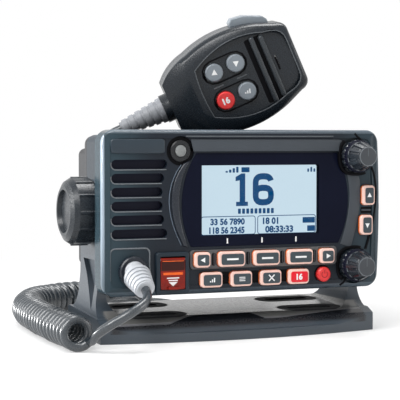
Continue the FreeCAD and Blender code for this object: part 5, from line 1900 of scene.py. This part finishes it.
@dataclass
class CoverSigns(Assembly):
    """The flat signs on the emergency button's cover: a band, two lines and an arrow.

    A box is a place up, a width, a height and a corner radius.
    """

    body: Body = Body.LID
    middle: float = -40.6
    band: Box = (-31.0, 10.6, 1.3, 0.3)
    band_slab: Slab = Slab(-1.66, 0.1)
    upper_line: Box = (-33.2, 6.6, 0.55)
    lower_line: Box = (-34.4, 5.0, 0.55)
    arrow_half: float = 2.4
    arrow_top: float = -35.2
    arrow_tip: float = -37.4
    sign_slab: Slab = Slab(-1.66, 0.08)
    edge: Box = (-24.6, 11.6, 0.35)
    edge_slab: Slab = Slab(-1.68, 0.08)
    shade: Box = (-26.6, 12.6, 5.6, 0.3)
    shade_slab: Slab = Slab(-1.64, 0.08)

    def make(self) -> None:
        """Make the signs, the bright edge and the dark upper field."""
        x = self.middle
        self.cut("cover_band", Finish.ORANGE, block(x, *self.band), self.band_slab)
        for number, line in enumerate((self.upper_line, self.lower_line), start=1):
            self.cut(f"cover_line_{number}", Finish.WHITE, block(x, *line), self.sign_slab)
        arrow = [(x - self.arrow_half, self.arrow_top), (x + self.arrow_half, self.arrow_top),
                 (x, self.arrow_tip)]
        self.cut("cover_arrow", Finish.WHITE, arrow, self.sign_slab)
        self.cut("cover_edge", Finish.ORANGE, block(x, *self.edge), self.edge_slab)
        self.cut("cover_shade", Finish.COVER_DARK, block(x, *self.shade), self.shade_slab)


# ------------------------------------------------------------------ mouldings of the microphone


@dataclass
class MicMouldings(Assembly):
    """The microphone's face line as a painted highlight, the bars by its keys and the lines of
    painted shade round them, a well of painted shade, its two ridges lighter as painted light, and
    a slit of painted shade.

    Lengths run from the neck, and a positive side is that of the talk key.
    """

    body: Body = Body.MICROPHONE
    place: Placer = on_mic
    side: Arch = ((23.5, -14.0), (45.0, -21.5), (66.0, -18.5))
    shoulder: Arch = ((66.0, -18.5), (74.6, -15.5), (77.0, -9.2))
    neck: Arch = ((23.5, 14.0), (22.3, 0.0), (23.5, -14.0))
    line: float = 0.55
    line_slab: Slab = Slab(-0.08, 0.3, 0.1)
    bar_places: Flat = (32.5, 46.5)
    bar: Box = (0.3, 6.0, 0.8, 0.3)
    bar_slab: Slab = Slab(1.9, 0.5, 0.15)
    field_rows: Flat = (8.7, -8.1)
    field_middle: float = 39.5
    field: Box = (25.8, 12.8, 6.39)
    field_line: float = 0.8
    field_slab: Slab = Slab(2.12, 0.12)
    well: Box = (60.2, -1.0, 10.8, 37.6, 1.0)
    well_slab: Slab = Slab(2.12, 0.1)
    ridges: tuple[Spot, Spot] = ((59.0, -20.2, 18.4), (64.2, -19.0, 17.2))
    ridge_wide: float = 2.9
    ridge_corner: float = 1.1
    ridge_slab: Slab = Slab(-0.5, 2.7, 1.2)
    slit: Box = (67.6, -1.0, 1.0, 7.6, 0.4)
    slit_slab: Slab = Slab(2.1, 0.12)

    def make(self) -> None:
        """Make the face line, then what lies within it."""
        # painted highlight round the face
        self.cut("mic_face_line", Finish.MIC_LINE, stroke(self.face(), self.line),
                 self.line_slab)
        for number, x in enumerate(self.bar_places, start=1):
            self.cut(f"mic_bar_{number}", Finish.MIC_LINE, block(x, *self.bar), self.bar_slab)
        for number, z in enumerate(self.field_rows, start=1):
            line = closed(block(self.field_middle, z, *self.field), self.field_line)
            # painted shade round each row of keys
            self.cut(f"mic_field_line_{number}", Finish.WELL, line, self.field_slab)
        # painted shade in the well round the ridges
        self.cut("mic_well", Finish.WELL, block(*self.well), self.well_slab)
        for number, (x, low, high) in enumerate(self.ridges, start=1):
            ridge = block(x, (low + high) / 2, self.ridge_wide, high - low, self.ridge_corner)
            # painted light: the ridges are lighter than the face
            self.cut(f"mic_ridge_{number}", Finish.MIC_RIDGE, ridge, self.ridge_slab)
        # painted shade in the voice slit
        self.cut("mic_slit", Finish.WELL, block(*self.slit), self.slit_slab)

    def face(self) -> Outline:
        """Draw the line round the face, from the neck along one side and back.

        Returns:
            The line's points.
        """
        lower = arc(*self.side) + arc(*self.shoulder, 5)[1:]
        upper = [(x, -z) for x, z in lower][::-1]
        return lower + upper + arc(*self.neck, 6)[1:]


# ------------------------------------------------------------------ the whole


@dataclass(frozen=True)
class Studio:
    """The white floor, which keeps the shadow near the radio, and the white surroundings.

    The near and far distances, in metres, are where the floor starts to glow and where
    it is all background. The soft light is the surroundings' strength on the radio.
    """

    floor_size: float = 8.0
    drop: float = 0.0002
    near: float = 0.12
    far: float = 0.5
    soft: float = 0.14

    def make(self) -> None:
        """Make the floor, the surroundings and the lamps."""
        self.make_floor()
        self.make_world()
        for lamp in LAMPS:
            lamp.make()

    def make_floor(self) -> None:
        """Add the floor as part of the stage."""
        bpy.ops.mesh.primitive_plane_add(size=self.floor_size, location=(0, 0, -self.drop))
        floor = bpy.context.object
        floor.name = "floor"
        net = Net(bpy.data.materials.new("floor"))
        x, y, _ = net.axes()
        ragged = (x * x + y * y) ** 0.5 + net.noise(8.0) * 0.01
        share = net.seen() * ragged.ramp(self.near, self.far, 0.4, 1.0)
        lit = net.node("ShaderNodeBsdfDiffuse", None, {0: tone(0.93, 0.93, 0.93)}).out(0)
        glow = net.node("ShaderNodeEmission", None, {0: tone(1, 1, 1), 1: 1.0}).out(0)
        surface = net.node("ShaderNodeMixShader", None, {0: share, 1: lit, 2: glow}).out(0)
        net.node("ShaderNodeOutputMaterial", None, {0: surface})
        floor.data.materials.append(net.holder)

    def make_world(self) -> None:
        """Surround the radio with white that is bright to see and soft on the radio."""
        world = bpy.data.worlds.new("studio")
        bpy.context.scene.world = world
        net = Net(world)
        dim, bright = (
            net.node("ShaderNodeBackground", None, {0: tone(1, 1, 1), 1: strength}).out(0)
            for strength in (self.soft, 1.0))
        mixed = net.node("ShaderNodeMixShader", None, {0: net.seen(), 1: dim, 2: bright}).out(0)
        net.node("ShaderNodeOutputWorld", None, {0: mixed})


def dress_nodes(frame: dict, wardrobe: Wardrobe) -> None:
    """Give each CAD node its material.

    Args:
        wardrobe: where the materials come from.
    """
    for finish, nodes in NODE_FINISHES.items():
        for name in nodes:
            wardrobe.dress(frame["nodes"][name], finish)
            LOG.info("%s has the finish %s", name, finish.name)


def main(frame: dict) -> None:
    """Make the scene.
    """
    bpy.context.scene.view_settings.view_transform = "Standard"
    bpy.ops.object.select_all(action="DESELECT")
    wardrobe = Wardrobe()
    CameraSpec().make()
    Cords(wardrobe).make()
    dress_nodes(frame, wardrobe)
    KeyFaces(wardrobe).make()
    MicKeySigns(wardrobe, place=on_mic).make()
    for kind in (Display, Grille, WindowBands, KeyWells, Seams):
        kind(wardrobe).make()
    for body in DIAL_AXES:
        Dial(wardrobe, body).make()
    CoverSigns(wardrobe).make()
    MicMouldings(wardrobe).make()
    Studio().make()


if __name__ == "__main__":
    logging.basicConfig(level=logging.INFO)
    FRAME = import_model()
    main(FRAME)
